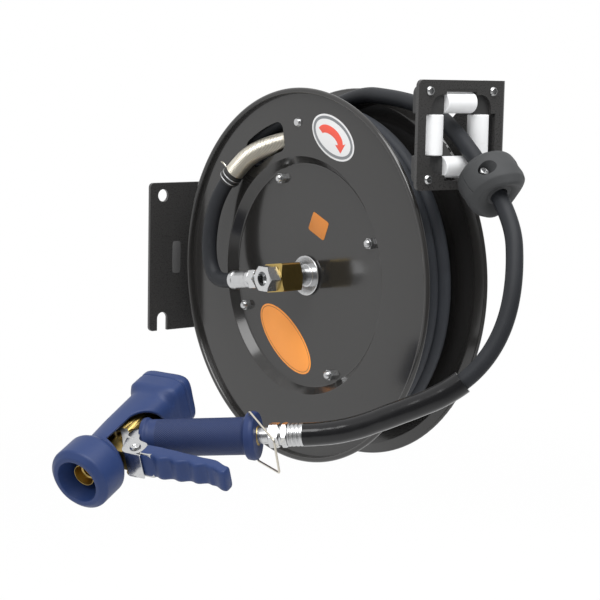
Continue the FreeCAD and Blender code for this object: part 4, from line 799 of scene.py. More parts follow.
@dataclass(frozen=True)
class Nylon:
    """Moulded nylon: soft sheen, faint mould marks and handling dirt."""

    colour: Colour
    dirt: Colour
    roughness: float = 0.38

    def material(self, name: str) -> bpy.types.Material:
        """The nylon's material."""
        n = Nodes.material(name)
        place = n.place()
        cloud = n.noise(place, 45.0, 4.0, 0.55)
        mark = n.marks(place, (60.0, 60.0, 200.0), 4.0, 0.6, 0.6, 0.8)
        fine = n.noise(place, 1400.0, 2.0, 0.5)
        base = n.mix(mark * 0.25, n.tones(cloud, self.colour, 1.0, 0.95), self.dirt)
        return n.finish(Base_Color=base, Roughness=self.roughness + cloud * 0.1,
                        Normal=n.bump(fine, 0.00003, 0.3))


@dataclass(frozen=True)
class StickerFilm:
    """Printed sticker film: even colour with faint scuffs and a slight sheen."""

    colour: Colour
    worn: Colour
    roughness: float = 0.42

    def material(self, name: str) -> bpy.types.Material:
        """The film's material."""
        n = Nodes.material(name)
        place = n.place()
        cloud = n.noise(place, 70.0, 3.0, 0.5)
        scuff = n.noise(n.stretched(place, (1.0, 3.0, 1.0)), 160.0, 4.0, 0.65).above(0.64, 0.76)
        base = n.mix(scuff * 0.35, n.tones(cloud, self.colour, 1.0, 0.94), self.worn)
        return n.finish(Base_Color=base, Roughness=self.roughness + scuff * 0.15,
                        Normal=n.bump(cloud, 0.00004, 0.3))


@dataclass
class Workshop:
    """The finishes of the reel, made once, and the work of dressing pieces and CAD nodes."""

    made: dict[str, bpy.types.Material] = field(default_factory=dict)

    SHARED_SLOTS = {"blue_knurled": "blue_rubber", "collar_nylon": "black_nylon",
                    "hose_rubber_painted_lit": "hose_rubber"}
    RECIPES = {
        "frame_paint": PowderCoat(grey(0.032, 0.02), 0.24, 0.04),
        "drum_paint": PowderCoat(grey(0.019, 0.04), 0.1),
        "zinc": Metal((0.57, 0.575, 0.58, 1.0), MetalFace.PLATED, 0.24, 0.15),
        "bright_steel": Metal((0.6, 0.605, 0.61, 1.0), MetalFace.TURNED, 0.17, 0.12),
        "spring_steel": Metal((0.7, 0.66, 0.57, 1.0), MetalFace.PLATED, 0.26, 0.12, 300.0),
        "stainless": Metal((0.6, 0.6, 0.59, 1.0), MetalFace.DRAWN, 0.27, 0.25),
        "cast_steel": Metal((0.2, 0.19, 0.18, 1.0), MetalFace.PLATED, 0.45, 0.5, 90.0),
        "brass": Metal((0.5, 0.36, 0.12, 1.0), MetalFace.TURNED, 0.27, 0.35, 120.0),
        "seal_rubber": MouldedRubber(grey(0.012), RubberFace.SMOOTH, 0.55),
        "hose_rubber": HoseCover(),
        # A lighter copy of the hose cover: painted light that brightens the wound hose where the drum's
        # flanges shade it.
        "hose_rubber_painted_lit": HoseCover((0.028, 0.031, 0.037, 1.0)),
        "sleeve_plastic": GlossySleeve(),
        "stop_rubber": MouldedRubber(grey(0.052, -0.03), RubberFace.SMOOTH, 0.52, specular=0.14),
        "white_nylon": Nylon(grey(0.78, -0.01), grey(0.45, 0.05)),
        "black_nylon": Nylon(grey(0.032), grey(0.06), 0.4),
        "collar_nylon": Nylon(grey(0.008), grey(0.02), 0.45),
        "blue_rubber": MouldedRubber((0.017, 0.036, 0.118, 1.0), RubberFace.SMOOTH, 0.4),
        "blue_knurled": MouldedRubber((0.015, 0.031, 0.105, 1.0), RubberFace.KNURLED, 0.46),
        "label_white": StickerFilm(grey(0.73), grey(0.55)),
        "label_grey": StickerFilm(grey(0.2, -0.05), grey(0.4)),
        "label_red": StickerFilm((0.78, 0.09, 0.055, 1.0), (0.8, 0.35, 0.28, 1.0)),
        "label_orange": StickerFilm((0.93, 0.33, 0.05, 1.0), (0.95, 0.5, 0.24, 1.0)),
        "label_amber": StickerFilm((0.56, 0.19, 0.025, 1.0), (0.6, 0.3, 0.12, 1.0)),
        "label_line": StickerFilm((0.2, 0.07, 0.02, 1.0), (0.35, 0.15, 0.08, 1.0)),
        "label_silver": StickerFilm(grey(0.085), grey(0.14), 0.35),
    }

    def finish(self, name: str) -> bpy.types.Material:
        """The material of a finish, made at its first use."""
        if name not in self.made:
            self.made[name] = self.RECIPES[name].material(name)
        return self.made[name]

    def dress(self, piece: bpy.types.Object, finish: str, body: str, stands_for: Sequence[str] = ()) -> None:
        """Gives a new piece its finish and body, and hides the CAD nodes that it stands for.

        Args:
            piece: The finished object.
            finish: Name of its finish.
            body: The CAD body that it rides on.
            stands_for: CAD nodes that it replaces.
        """
        piece.data.materials.clear()
        piece.data.materials.append(self.finish(finish))
        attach(piece, body)
        slot = self.SHARED_SLOTS.get(finish, finish)
        not slot.startswith("label")
        if stands_for:
            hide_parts(*stands_for)
        log.info("%s: %d faces on %s", piece.name, len(piece.data.polygons), body)

    def dress_softened(self, node: str, name: str, width: float, finish: str, body: str,
                       segments: int = 2) -> bpy.types.Object:
        """Puts a copy of a CAD node with rounded edges in its place.

        Args:
            node: The CAD node.
            name: Name of the new piece.
            width: Width of the rounding in millimetres.
            finish: Name of its finish.
            body: The CAD body that it rides on.
            segments: Spans across the rounding.

        Returns:
            The new object.
        """
        piece = softened(node, name, width, segments)
        self.dress(piece, finish, body, (node,))
        return piece

    def dress_nodes(self, finish: str, *names: str) -> None:
        """Gives CAD nodes that stay as they are their finish."""
        for name in names:
            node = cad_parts[name]
            if not node.material_slots:
                log.warning("%s has no material slot", name)
            for entry in node.material_slots:
                entry.material = self.finish(finish)
            log.info("%s: CAD node in %s", name, finish)


# Studio

@dataclass
class Studio:
    """Camera, light and floor of the photograph."""

    lens: float = 102.25
    sensor: float = 36.0
    place: tuple[float, float, float] = (-1.19019, -1.59249, 0.21341)
    azimuth: float = -39.9897
    elevation: float = 7.6290
    roll: float = 1.1658
    floor_z: float = -0.75
    fill: float = 0.76
    dark_side: float = 0.2
    key: float = 1.0
    key_degrees: float = 30.0
    key_from: tuple[float, float, float] = (-0.75, -0.35, 0.9)
    softbox_power: float = 52.0
    softbox_from: tuple[float, float, float] = (-0.3, -1.3, 2.1)

    def build(self) -> None:
        """Makes the camera, the lights, the world and the floor."""
        self.camera()
        self.world()
        self.lights()
        self.floor()
        bpy.context.scene.view_settings.view_transform = "Standard"
        log.info("studio: lens %.2f mm, fill %.2f, key %.2f", self.lens, self.fill, self.key)

    def camera(self) -> None:
        """Camera whose back direction has the azimuth and elevation, rolled about itself."""
        a, e, r = (math.radians(x) for x in (self.azimuth, self.elevation, self.roll))
        back = np.array([math.sin(a) * math.cos(e), -math.cos(a) * math.cos(e), math.sin(e)])
        right = unit(np.cross(Z_AXIS, back))
        up = np.cross(back, right)
        across = math.cos(r) * right + math.sin(r) * up
        upright = -math.sin(r) * right + math.cos(r) * up
        data = bpy.data.cameras.new("camera")
        data.lens, data.sensor_width = self.lens, self.sensor
        data.clip_start, data.clip_end = 0.05, 60.0
        bpy.context.scene.camera = self.stand(data, np.array(self.place), across, upright, back)

    @staticmethod
    def stand(data: bpy.types.ID, place: Array, *axes: Array) -> bpy.types.Object:
        """Places a camera or light with its three axes along the ones given."""
        thing = linked(data.name, data)
        turn = Matrix([list(row) for row in np.column_stack(axes)])
        thing.matrix_world = Matrix.Translation(place.tolist()) @ turn.to_4x4()
        return thing

    def world(self) -> None:
        """White for camera and transmission rays, a soft fill for diffuse rays.

        Glossy rays see the white sweep behind and above the reel, and a darker room on the camera's side.
        """
        world = bpy.data.worlds.new("studio")
        bpy.context.scene.world = world
        n = Nodes(world)
        _, y, z = n.axes(n.value("ShaderNodeTexCoord", output="Generated"))
        room = y.above(-0.45, 0.1).maths("MAXIMUM", z.above(0.35, 0.8))
        mirrored = self.dark_side + room * (1.0 - self.dark_side)
        path = n.make("ShaderNodeLightPath")
        glossy = Value(n, path.outputs["Is Glossy Ray"])
        through = Value(n, path.outputs["Is Transmission Ray"])
        plain = Value(n, path.outputs["Is Camera Ray"]).maths("MAXIMUM", through)
        level = plain + (1.0 - plain) * (glossy * mirrored + (1.0 - glossy) * self.fill)
        sky = n.value("ShaderNodeBackground", None, {"Color": (1.0, 1.0, 1.0, 1.0), "Strength": level})
        n.make("ShaderNodeOutputWorld", None, {"Surface": sky})

    def lights(self) -> None:
        """A weak key from the upper left and a large softbox overhead."""
        key = bpy.data.lights.new("key", "SUN")
        key.energy, key.angle = self.key, math.radians(self.key_degrees)
        self.aim(key, np.array(self.key_from) * 3.0, np.zeros(3))
        top = bpy.data.lights.new("softbox", "AREA")
        top.shape, top.size, top.size_y, top.energy = "RECTANGLE", 2.2, 1.6, self.softbox_power
        self.aim(top, np.array(self.softbox_from), np.array([0.0, -0.25, 0.0]))

    def aim(self, light: bpy.types.Light, place: Array, target: Array) -> None:
        """Places a light and points it at a target."""
        back = unit(place - target)
        side = unit(np.cross(Y_AXIS if abs(back[2]) > 0.9 else Z_AXIS, back))
        self.stand(light, place, side, np.cross(back, side), back)

    def floor(self) -> None:
        """A pale floor that shows as the white background and keeps the object's shadow."""
        half, low = 12.0, self.floor_z
        corners = [(-half, -half, low), (half, -half, low), (half, half, low), (-half, half, low)]
        data = bpy.data.meshes.new("floor")
        data.from_pydata(corners, [], [(0, 1, 2, 3)])
        floor = linked("floor", data)
        n = Nodes.material("floor")
        place = n.place()
        x, y, _ = n.axes(place)
        far = (x * x + y * y).above(2.0, 9.0)
        path = n.make("ShaderNodeLightPath")
        camera, glossy, through = (Value(n, path.outputs[f"Is {kind} Ray"])
                                   for kind in ("Camera", "Glossy", "Transmission"))
        seen = camera.maths("MAXIMUM", glossy).maths("MAXIMUM", through)
        glow_level = 1.0 - glossy * (1.0 - y.above(-1.8, -0.6)) * (1.0 - self.dark_side)
        pale = n.mix(n.noise(place, 3.0), grey(0.8), grey(0.84))
        diffuse = n.value("ShaderNodeBsdfDiffuse", None, {"Color": pale})
        glow = n.value("ShaderNodeEmission", None, {"Color": (1.0, 1.0, 1.0, 1.0), "Strength": glow_level})
        mixed = n.value("ShaderNodeMixShader", None, {0: seen * (0.86 + far * 0.14), 1: diffuse, 2: glow})
        n.make("ShaderNodeOutputMaterial", None, {"Surface": mixed})
        data.materials.append(n.owner)


# Wall plate, arms and latch

@dataclass
class WallBracket:
    """Wall plate, the two arms, the spindle's fastenings and the latch."""

    edge: float = 0.5
    sticker_half: tuple[float, float] = (5.7, 18.4)
    sticker_place: tuple[float, float] = (-45.0, -1.0)
    sticker_thick: float = 0.2

    def build(self, shop: Workshop) -> None:
        """Dresses the bracket's sheet metal and small parts."""
        for node in ("wall_plate", "pedestal_arm", "guide_arm"):
            shop.dress_softened(node, node + "_coated", self.edge, "frame_paint", "root")
        shop.dress_nodes("zinc", "spindle_nut", "spindle_washer", "pawl_pin")
        shop.dress_nodes("bright_steel", "spindle")
        shop.dress_nodes("cast_steel", "pawl", "spring_arbor", "ratchet_wheel")
        shop.dress_nodes("spring_steel", "pawl_spring", "power_spring")
        shop.dress(self.sticker(), "label_silver", "root")

    def sticker(self) -> bpy.types.Object:
        """Bare silver sticker on the wall plate's front."""
        x, z = self.sticker_place
        outline = ellipse(*self.sticker_half, 64, 9.0)
        place = np.array([x, WALL_PLATE_Y, z])
        return Skin().slab(outline, place, X_AXIS, Z_AXIS, 0.0, self.sticker_thick).mesh("wall_plate_sticker")


@dataclass
class RollerGuide:
    """Four rollers in a screwed-on frame that the hose runs through."""

    edge: float = 0.6
    plate_centre: tuple[float, float, float] = (-12.5, -425.0, 156.0)
    lip_half: float = 21.0
    lip_heights: tuple[float, float] = (41.2, 47.6)
    lip_depths: tuple[float, float] = (-2.6, -0.4)

    def build(self, shop: Workshop) -> None:
        """Dresses rollers, holders, pins and screws."""
        for side in ("top", "bottom", "left", "right"):
            shop.dress_nodes("white_nylon", "roller_" + side)
        shop.dress_softened("roller_corner_holders", "corner_holders_moulded", self.edge, "black_nylon",
                            "root", segments=3)
        shop.dress_nodes("zinc", "roller_pins")
        shop.dress_nodes("bright_steel", "guide_screws")
        shop.dress(self.lip(), "frame_paint", "root")

    def lip(self) -> bpy.types.Object:
        """Thin lip in the plate's notch above the top roller, which closes the gap down to the roller."""
        half, (low, high) = self.lip_half, self.lip_heights
        corners = (-half, low), (half, low), (half, high), (-half, high)
        outline = rounded([(x, z, 0.5) for x, z in corners], steps=2)
        lip = Skin().slab(outline, np.array(self.plate_centre), X_AXIS, Z_AXIS, *self.lip_depths)
        return lip.mesh("guide_notch_lip")


# Drum

@dataclass
class Drum:
    """Pressed flanges, core, rods and nuts, and the stickers on the front flange."""

    film: float = 0.22
    print_step: float = 0.05
    sheet: float = 2.0
    bead: float = 3.0
    rim_radius: float = 197.2
    wall_foot: float = 190.9
    recess: tuple[float, float] = (126.2, 118.0)
    hub_radius: float = 13.1
    slot: tuple[float, float, float, float] = (134.0, 166.0, 102.5, 127.0)
    slot_corner: float = 9.0
    arrow_oval: tuple[float, float] = (35.3, 20.2)
    arrow_oval_place: tuple[float, float] = (-47.1, 147.4)
    arrow_oval_lean: float = 25.7
    orange_oval: tuple[float, float] = (50.4, 23.0)
    orange_oval_place: tuple[float, float] = (34.2, -72.2)
    orange_oval_along: tuple[float, float] = (0.815, 0.579)
    orange_tag: tuple[float, float] = (13.65, 10.45)
    orange_tag_place: tuple[float, float] = (-17.0, 53.7)
    orange_tag_along: tuple[float, float] = (25.1, 10.7)

    def build(self, shop: Workshop) -> None:
        """Dresses the drum and adds its stickers."""
        shop.dress(self.front_flange(), "drum_paint", "drum", ("front_flange",))
        shop.dress_nodes("drum_paint", "rear_flange", "drum_core")
        shop.dress_nodes("zinc", "tie_rods", "acorn_nuts", "rear_nuts", "ring_screw")
        shop.dress_nodes("bright_steel", "rear_bearing")
        self.turn_sticker(shop)
        self.plain_oval(shop)
        self.tag(shop)

    def front_flange(self) -> bpy.types.Object:
        """Pressed front flange: rolled bead, steep wall, flat ring with its slot, sloping wall and disc.

        The profile (x from the rim's plane, r) is turned about the axis, and the slot is cut out of the ring.
        """
        bead, sheet, foot, hub = self.bead, self.sheet, self.wall_foot, self.hub_radius
        ring, disc, edge = RING_FACE_X - RIM_FRONT_X, DISC_FACE_X - RIM_FRONT_X, self.rim_radius - bead
        turn = np.radians(np.linspace(-92.0, 205.0, 30))
        roll = np.stack([bead - bead * np.cos(turn), edge + bead * np.sin(turn)], axis=-1)
        outer, inner = self.recess
        profile = np.concatenate([roll, rounded([
            (ring + sheet, foot + 0.6, 0), (ring + sheet, outer - 0.8, 3.0), (disc + sheet, inner - 0.8, 2.0),
            (disc + sheet, hub, 0), (disc, hub, 0), (disc, inner, 3.0), (ring, outer, 1.5), (ring, foot, 0)],
            closed=False, steps=5)])
        axis = Line.through((RIM_FRONT_X, DRUM_Y, 0.0), X_AXIS)
        flange = Skin().turned(axis, profile, count=288).mesh("front_flange_pressed", 38.0)
        low, high, start, stop = self.slot
        middle = (low + high) / 2
        corners = [(math.radians(degrees) * middle, reach, self.slot_corner)
                   for degrees, reach in ((start, low), (stop, low), (stop, high), (start, high))]
        arc, radius = filled(rounded(corners), 3.0).T
        cutter = Skin()
        cutter.capped_grid(np.stack([on_drum(x, radius, np.degrees(arc / middle))
                                     for x in (RING_FACE_X - 3.0, RING_FACE_X + 5.0)]))
        carve(flange, cutter.mesh("slot_cutter"), 38.0)
        return flange

    @property
    def printed(self) -> tuple[float, float]:
        """Heights of a printed layer's underside and top."""
        return self.film - 0.02, self.film + self.print_step

    @staticmethod
    def plane(x: float, place: tuple[float, float]) -> Array:
        """Point of the flange at x, and y and z from the drum's axis."""
        return np.array([x, DRUM_Y + place[0], place[1]])

    @staticmethod
    def facing(along: Sequence[float]) -> tuple[Array, Array]:
        """Two directions in the flange's plane, whose cross product points away from the drum.

        Args:
            along: The first direction's (y, z).

        Returns:
            The first and second direction.
        """
        a_axis = unit([0.0, along[0], along[1]])
        return a_axis, np.cross(-X_AXIS, a_axis)

    def turn_sticker(self, shop: Workshop) -> None:
        """White oval with a grey inset ring and a red arrow that shows which way the drum turns."""
        lean = math.radians(self.arrow_oval_lean)
        along = (-math.cos(lean), -math.sin(lean))
        plane = self.plane(RING_FACE_X, self.arrow_oval_place), *self.facing(along)
        half_a, half_b = self.arrow_oval
        outer, inner = ellipse(half_a - 2.2, half_b - 1.9), ellipse(half_a - 5.6, half_b - 4.9)
        white = Skin().slab(ellipse(half_a, half_b), *plane, 0.0, self.film).mesh("turn_sticker")
        ring = Skin().frame_ring(outer, inner, *plane, *self.printed).mesh("turn_sticker_ring")
        arrow = Skin().slab(self.arrow_outline(), *plane, *self.printed, 0.02).mesh("turn_sticker_arrow")
        for piece, finish in ((white, "label_white"), (ring, "label_grey"), (arrow, "label_red")):
            shop.dress(piece, finish, "drum")

    @staticmethod
    def arrow_outline() -> Array:
        """Bent arrow: a band about an elliptic arc from a square tail at the left to a large barbed head."""
        turn = np.radians(np.linspace(176.0, 12.0, 28))
        middle = np.stack([17.0 * np.cos(turn) - 3.0, 8.0 * np.sin(turn) - 3.2], axis=-1)
        along = unit(np.gradient(middle, axis=0))
        across = np.stack([-along[:, 1], along[:, 0]], axis=-1)
        half = np.linspace(4.2, 4.0, 28)[:, None]
        outer, inner = middle + across * half, middle - across * half
        end, tip, out = middle[-1], along[-1], across[-1]
        head = [end + out * 8.0 - tip * 0.6, end + tip * 8.6, end - out * 8.0 - tip * 0.6]
        return np.concatenate([outer, head, inner[::-1]])[::-1]

    def plain_oval(self, shop: Workshop) -> None:
        """Bare orange oval with a darker inset line on the disc."""
        plane = self.plane(DISC_FACE_X, self.orange_oval_place), *self.facing(self.orange_oval_along)
        half_a, half_b = self.orange_oval
        outer, inner = ellipse(half_a - 2.2, half_b - 2.0, 128), ellipse(half_a - 2.9, half_b - 2.6, 128)
        oval = Skin().slab(ellipse(half_a, half_b, 128), *plane, 0.0, self.film).mesh("plain_oval_sticker")
        line = Skin().frame_ring(outer, inner, *plane, *self.printed).mesh("plain_oval_line")
        shop.dress(oval, "label_orange", "drum")
        shop.dress(line, "label_line", "drum")

    def tag(self, shop: Workshop) -> None:
        """Bare orange rectangle on the disc."""
        plane = self.plane(DISC_FACE_X, self.orange_tag_place), *self.facing(self.orange_tag_along)
        tag = Skin().slab(ellipse(*self.orange_tag, 64, 14.0), *plane, 0.0, self.film)
        shop.dress(tag.mesh("plain_tag_sticker"), "label_amber", "drum")


# Hose on the drum

@dataclass
class WoundHose:
    """The hose in its lanes on the drum: a wound outer layer over two inner ones."""

    wind_radius: float = 171.0
    middle_radius: float = 156.4
    inner_radius: float = 142.2
    first_lane: float = 16.8
    pitch: float = 17.4
    turns: int = 2
    start_degrees: float = 265.0
    last_lane: float = 68.5
    leave_degrees: float = 117.0
    lead: float = 16.5
    pocket: tuple[float, float] = (86.0, 131.0)
    pocket_depth: float = 45.0
    cap_room: float = 2.5

    def build(self, shop: Workshop) -> None:
        """Makes the outer winding, the inner layers and the last turn; their hose cover is a brighter copy of
        the free hose's, painted light for the winding shaded between the flanges.
        """
        winding = Skin().tube(self.outer_line(), HOSE_RADIUS, X_AXIS)
        self.inner_layers(winding)
        shop.dress(winding.mesh("wound_hose"), "hose_rubber_painted_lit", "drum", ("hose_winding", "hose_inner_layers"))
        degrees = np.linspace(self.start_degrees, self.leave_degrees, 90)
        lane = on_drum(RIM_FRONT_X + self.last_lane, self.wind_radius, degrees)
        last = Skin().tube(lane, HOSE_RADIUS, X_AXIS)
        shop.dress(last.mesh("wound_hose_last_turn"), "hose_rubber_painted_lit", "root", ("hose_last_turn",))

    def outer_line(self) -> Array:
        """Helix x = first lane + pitch t, angle = start - 360 t, with a short straight lead at each end."""
        t = np.linspace(0, self.turns, 90 * self.turns + 1)
        line = on_drum(RIM_FRONT_X + self.first_lane + self.pitch * t, self.wind_radius,
                       self.start_degrees - 360 * t)
        share = np.linspace(1, 0, 5)[:-1, None]
        before = line[0] - unit(line[1] - line[0]) * self.lead * share
        after = line[-1] + unit(line[-1] - line[-2]) * self.lead * share[::-1]
        return np.concatenate([before, line, after])

    def inner_layers(self, skin: Skin) -> None:
        """Rings in the lanes between and under the outer ones; those at the pocket stop beside it."""
        layers = [(self.middle_radius, self.first_lane + self.pitch / 2 + self.pitch * k) for k in range(3)]
        layers += [(self.inner_radius, self.first_lane + self.pitch * k) for k in range(4)]
        for radius, lane in layers:
            room = math.degrees(self.cap_room / radius)
            whole = lane >= self.pocket_depth
            opened = np.linspace(self.pocket[1] + room, 360 + self.pocket[0] - room, 140)
            degrees = np.arange(160) * 360 / 160 if whole else opened
            line = on_drum(RIM_FRONT_X + lane, radius, degrees)
            skin.tube(line, HOSE_RADIUS - 0.05, X_AXIS, 16, closed=whole)


@dataclass
class Riser:
    """Short hose from the swivel through the flange's slot, with its spring guard, collar and clamp."""

    route: Array = field(default_factory=lambda: np.array([
        (-66.5, -130.132, -13.333), (-66.5, -112.208, -15.852), (-66.3, -99.0, -3.0), (-66.0, -94.0, 17.0),
        (-65.0, -94.5, 38.0), (-64.0, -98.0, 57.0), (-62.0, -105.5, 77.0), (-59.0, -119.5, 97.2),
        (-50.0, -159.0, 135.1), (-20.0, -204.5, 144.5)]))
    length: float = 250.8
    collar_from: tuple[float, float, float] = (-59.3, -118.5, 96.2)
    collar_length: float = 12.0
    band_places: tuple[float, float] = (4.0, 9.0)
    guard_radius: float = 9.95
    wire: float = 0.72
    wire_pitch: float = 1.62
    guard_end: float = 14.0
    wire_towards: tuple[float, float, float] = (-0.766, 0.643, 0.1)
    wire_reach: float = 10.0
    wire_bend: float = 6.0
    lead: float = 11.5

    def build(self, shop: Workshop) -> None:
        """Makes the hose, the collar with its two bright bands, and the spring guard."""
        line = nurbs_line(self.route, 2.0)
        piece = Skin().tube(line, HOSE_RADIUS, X_AXIS).mesh("riser_tube")
        shop.dress(piece, "hose_rubber", "drum", ("riser_hose",))
        start = nearest(line, np.array(self.collar_from))
        guard = self.guard(line, start + self.collar_length - 1.0)
        shop.dress(guard, "spring_steel", "drum", ("spring_guard",))
        back = line[0] + unit(line[0] - line[1]) * np.linspace(-0.5, self.lead, 4)[:, None]
        lead = Skin().tube(back, HOSE_RADIUS, X_AXIS, bore=HOSE_RADIUS - 3.0)
        shop.dress(lead.mesh("riser_hose_end"), "hose_rubber", "drum")
        collar, bands = self.collar(line, start)
        shop.dress(collar, "collar_nylon", "drum", ("guard_collar",))
        shop.dress(bands, "zinc", "drum")
        shop.dress_nodes("zinc", "hose_clamp")

    def collar(self, line: Array, start: float) -> tuple[bpy.types.Object, bpy.types.Object]:
        """Black collar that holds the guard's end, and two bright bands sunk into it.

        Args:
            line: Centre line of the hose.
            start: Distance of the collar's end along it.

        Returns:
            The collar and the bands.
        """
        ends = even(line, self.collar_length, start - 2.0, start + self.collar_length)
        axis = Line.through(ends[0], ends[-1] - ends[0], X_AXIS)
        bore, out, reach = HOSE_RADIUS + 0.15, 10.4, float(np.linalg.norm(ends[-1] - ends[0]))
        profile = rounded([(0, bore, 0), (0, out - 0.6, 0.5), (1.2, out + 0.5, 0.6),
                           (reach - 1.5, out + 0.9, 0.8), (reach, out, 0.5), (reach, bore, 0)])
        bands = Skin()
        for place in self.band_places:
            low, high = place - 0.55, place + 0.55
            bands.turned(axis, rounded([(low, out - 0.3, 0), (low, out + 1.25, 0.3), (high, out + 1.3, 0.3),
                                        (high, out - 0.3, 0)]), count=64)
        body = Skin().turned(axis, profile, count=64)
        return body.mesh("guard_collar_moulded"), bands.mesh("guard_collar_bands")

    def guard(self, line: Array, start: float) -> bpy.types.Object:
        """Close-wound wire: station plus R cos t first plus R sin t second, t one turn per pitch.

        The first turn's wire end springs away from the collar along a round bend.

        Args:
            line: Centre line of the hose.
            start: Distance along it where the coil starts.

        Returns:
            The guard.
        """
        end = lengths(line)[-1] - self.guard_end
        turns = (end - start) / self.wire_pitch
        count = int(turns * 18)
        centre = places_at(line, np.linspace(start, end, count))
        tangent = unit(np.gradient(centre, axis=0))
        first = unit(X_AXIS - tangent * (tangent @ X_AXIS)[:, None])
        second = np.cross(tangent, first)
        towards = np.array(self.wire_towards)
        start_turn = math.atan2(towards @ second[0], towards @ first[0])
        turn = start_turn + np.linspace(0, turns * TURN, count)[:, None]
        outward = first * np.cos(turn) + second * np.sin(turn)
        coil = centre + outward * self.guard_radius
        bend = np.linspace(self.wire_reach, 0.0, 9)[:-1, None] / self.wire_bend
        back = unit(coil[0] - coil[1])
        tail = coil[0] + (back * np.sin(bend) + outward[0] * (1 - np.cos(bend))) * self.wire_bend
        wire = Skin().tube(np.concatenate([tail, coil]), self.wire, tangent[0], 6)
        return wire.mesh("spring_guard_wire", 60.0)


# Water inlet

@dataclass
class Swivel:
    """Water inlet: hexagon port, swivel block, outlet nut and the crimped ferrule of the riser."""

    place: tuple[float, float, float] = (-66.5, -225.0, 0.0)
    outlet_degrees: float = 188.0
    ferrule: tuple[float, float] = (50.0, 85.0)
    ferrule_radius: float = 10.2
    bore: float = 5.0

    def build(self, shop: Workshop) -> None:
        """Dresses the swivel's metal parts and makes the crimped ferrule."""
        shop.dress_softened("swivel_body", "swivel_block", 0.5, "brass", "drum")
        shop.dress_softened("inlet_port", "inlet_port_plated", 0.3, "bright_steel", "root")
        shop.dress_softened("swivel_outlet", "swivel_outlet_plated", 0.3, "bright_steel", "drum")
        shop.dress_nodes("seal_rubber", "swivel_seals")
        shop.dress(self.crimped(), "zinc", "drum", ("riser_ferrule",))
        shop.dress(self.bearing(), "bright_steel", "drum", ("front_bearing",))

    def bearing(self) -> bpy.types.Object:
        """Front bearing: a sleeve in the disc, a thin dished flange and a polished neck up to the block."""
        profile = rounded([(8.0, 9.8, 0), (8.0, 13.0, 0.4), (0.0, 13.0, 0), (-0.6, 20.6, 0.4),
                           (-2.6, 21.4, 0.5), (-3.2, 20.6, 0.4), (-1.7, 12.6, 1.5), (-1.5, 10.5, 1.0),
                           (-16.6, 10.5, 0.6), (-16.6, 9.8, 0)], steps=4)
        axis = Line.through((DISC_FACE_X, DRUM_Y, 0.0), X_AXIS)
        return Skin().turned(axis, profile).mesh("front_bearing_dished", 40.0)

    def crimped(self) -> bpy.types.Object:
        """Turned ferrule with eight shallow flats: the radius dips by half of |cos 4t| over its middle."""
        out = on_drum(0.0, 1.0, self.outlet_degrees) - np.array([0.0, DRUM_Y, 0.0])
        line = Line.through(self.place, out, X_AXIS)
        low, high = self.ferrule
        radius = self.ferrule_radius
        profile = rounded([(low, self.bore, 0), (low, radius, 1.5), (low + 6, radius, 0),
                           (low + 7, radius - 0.7, 0), (high - 7, radius - 0.7, 0), (high - 6, radius, 0),
                           (high, radius, 0.8), (high, self.bore, 0)])

        def crimp(along: Array, reach: Array, turn: Array) -> tuple[Array, Array]:
            """Eight flats pressed between the two end beads."""
            inside = smooth(low + 6, low + 8, along) * (1 - smooth(high - 8, high - 6, along))
            flats = np.abs(np.cos(4 * turn)) * 0.5
            return along, np.where(reach > radius - 2, reach - inside * flats, reach)

        return Skin().turned(line, filled(profile), warp=crimp).mesh("riser_ferrule_crimped", 40.0)


# Free hose and what is on it

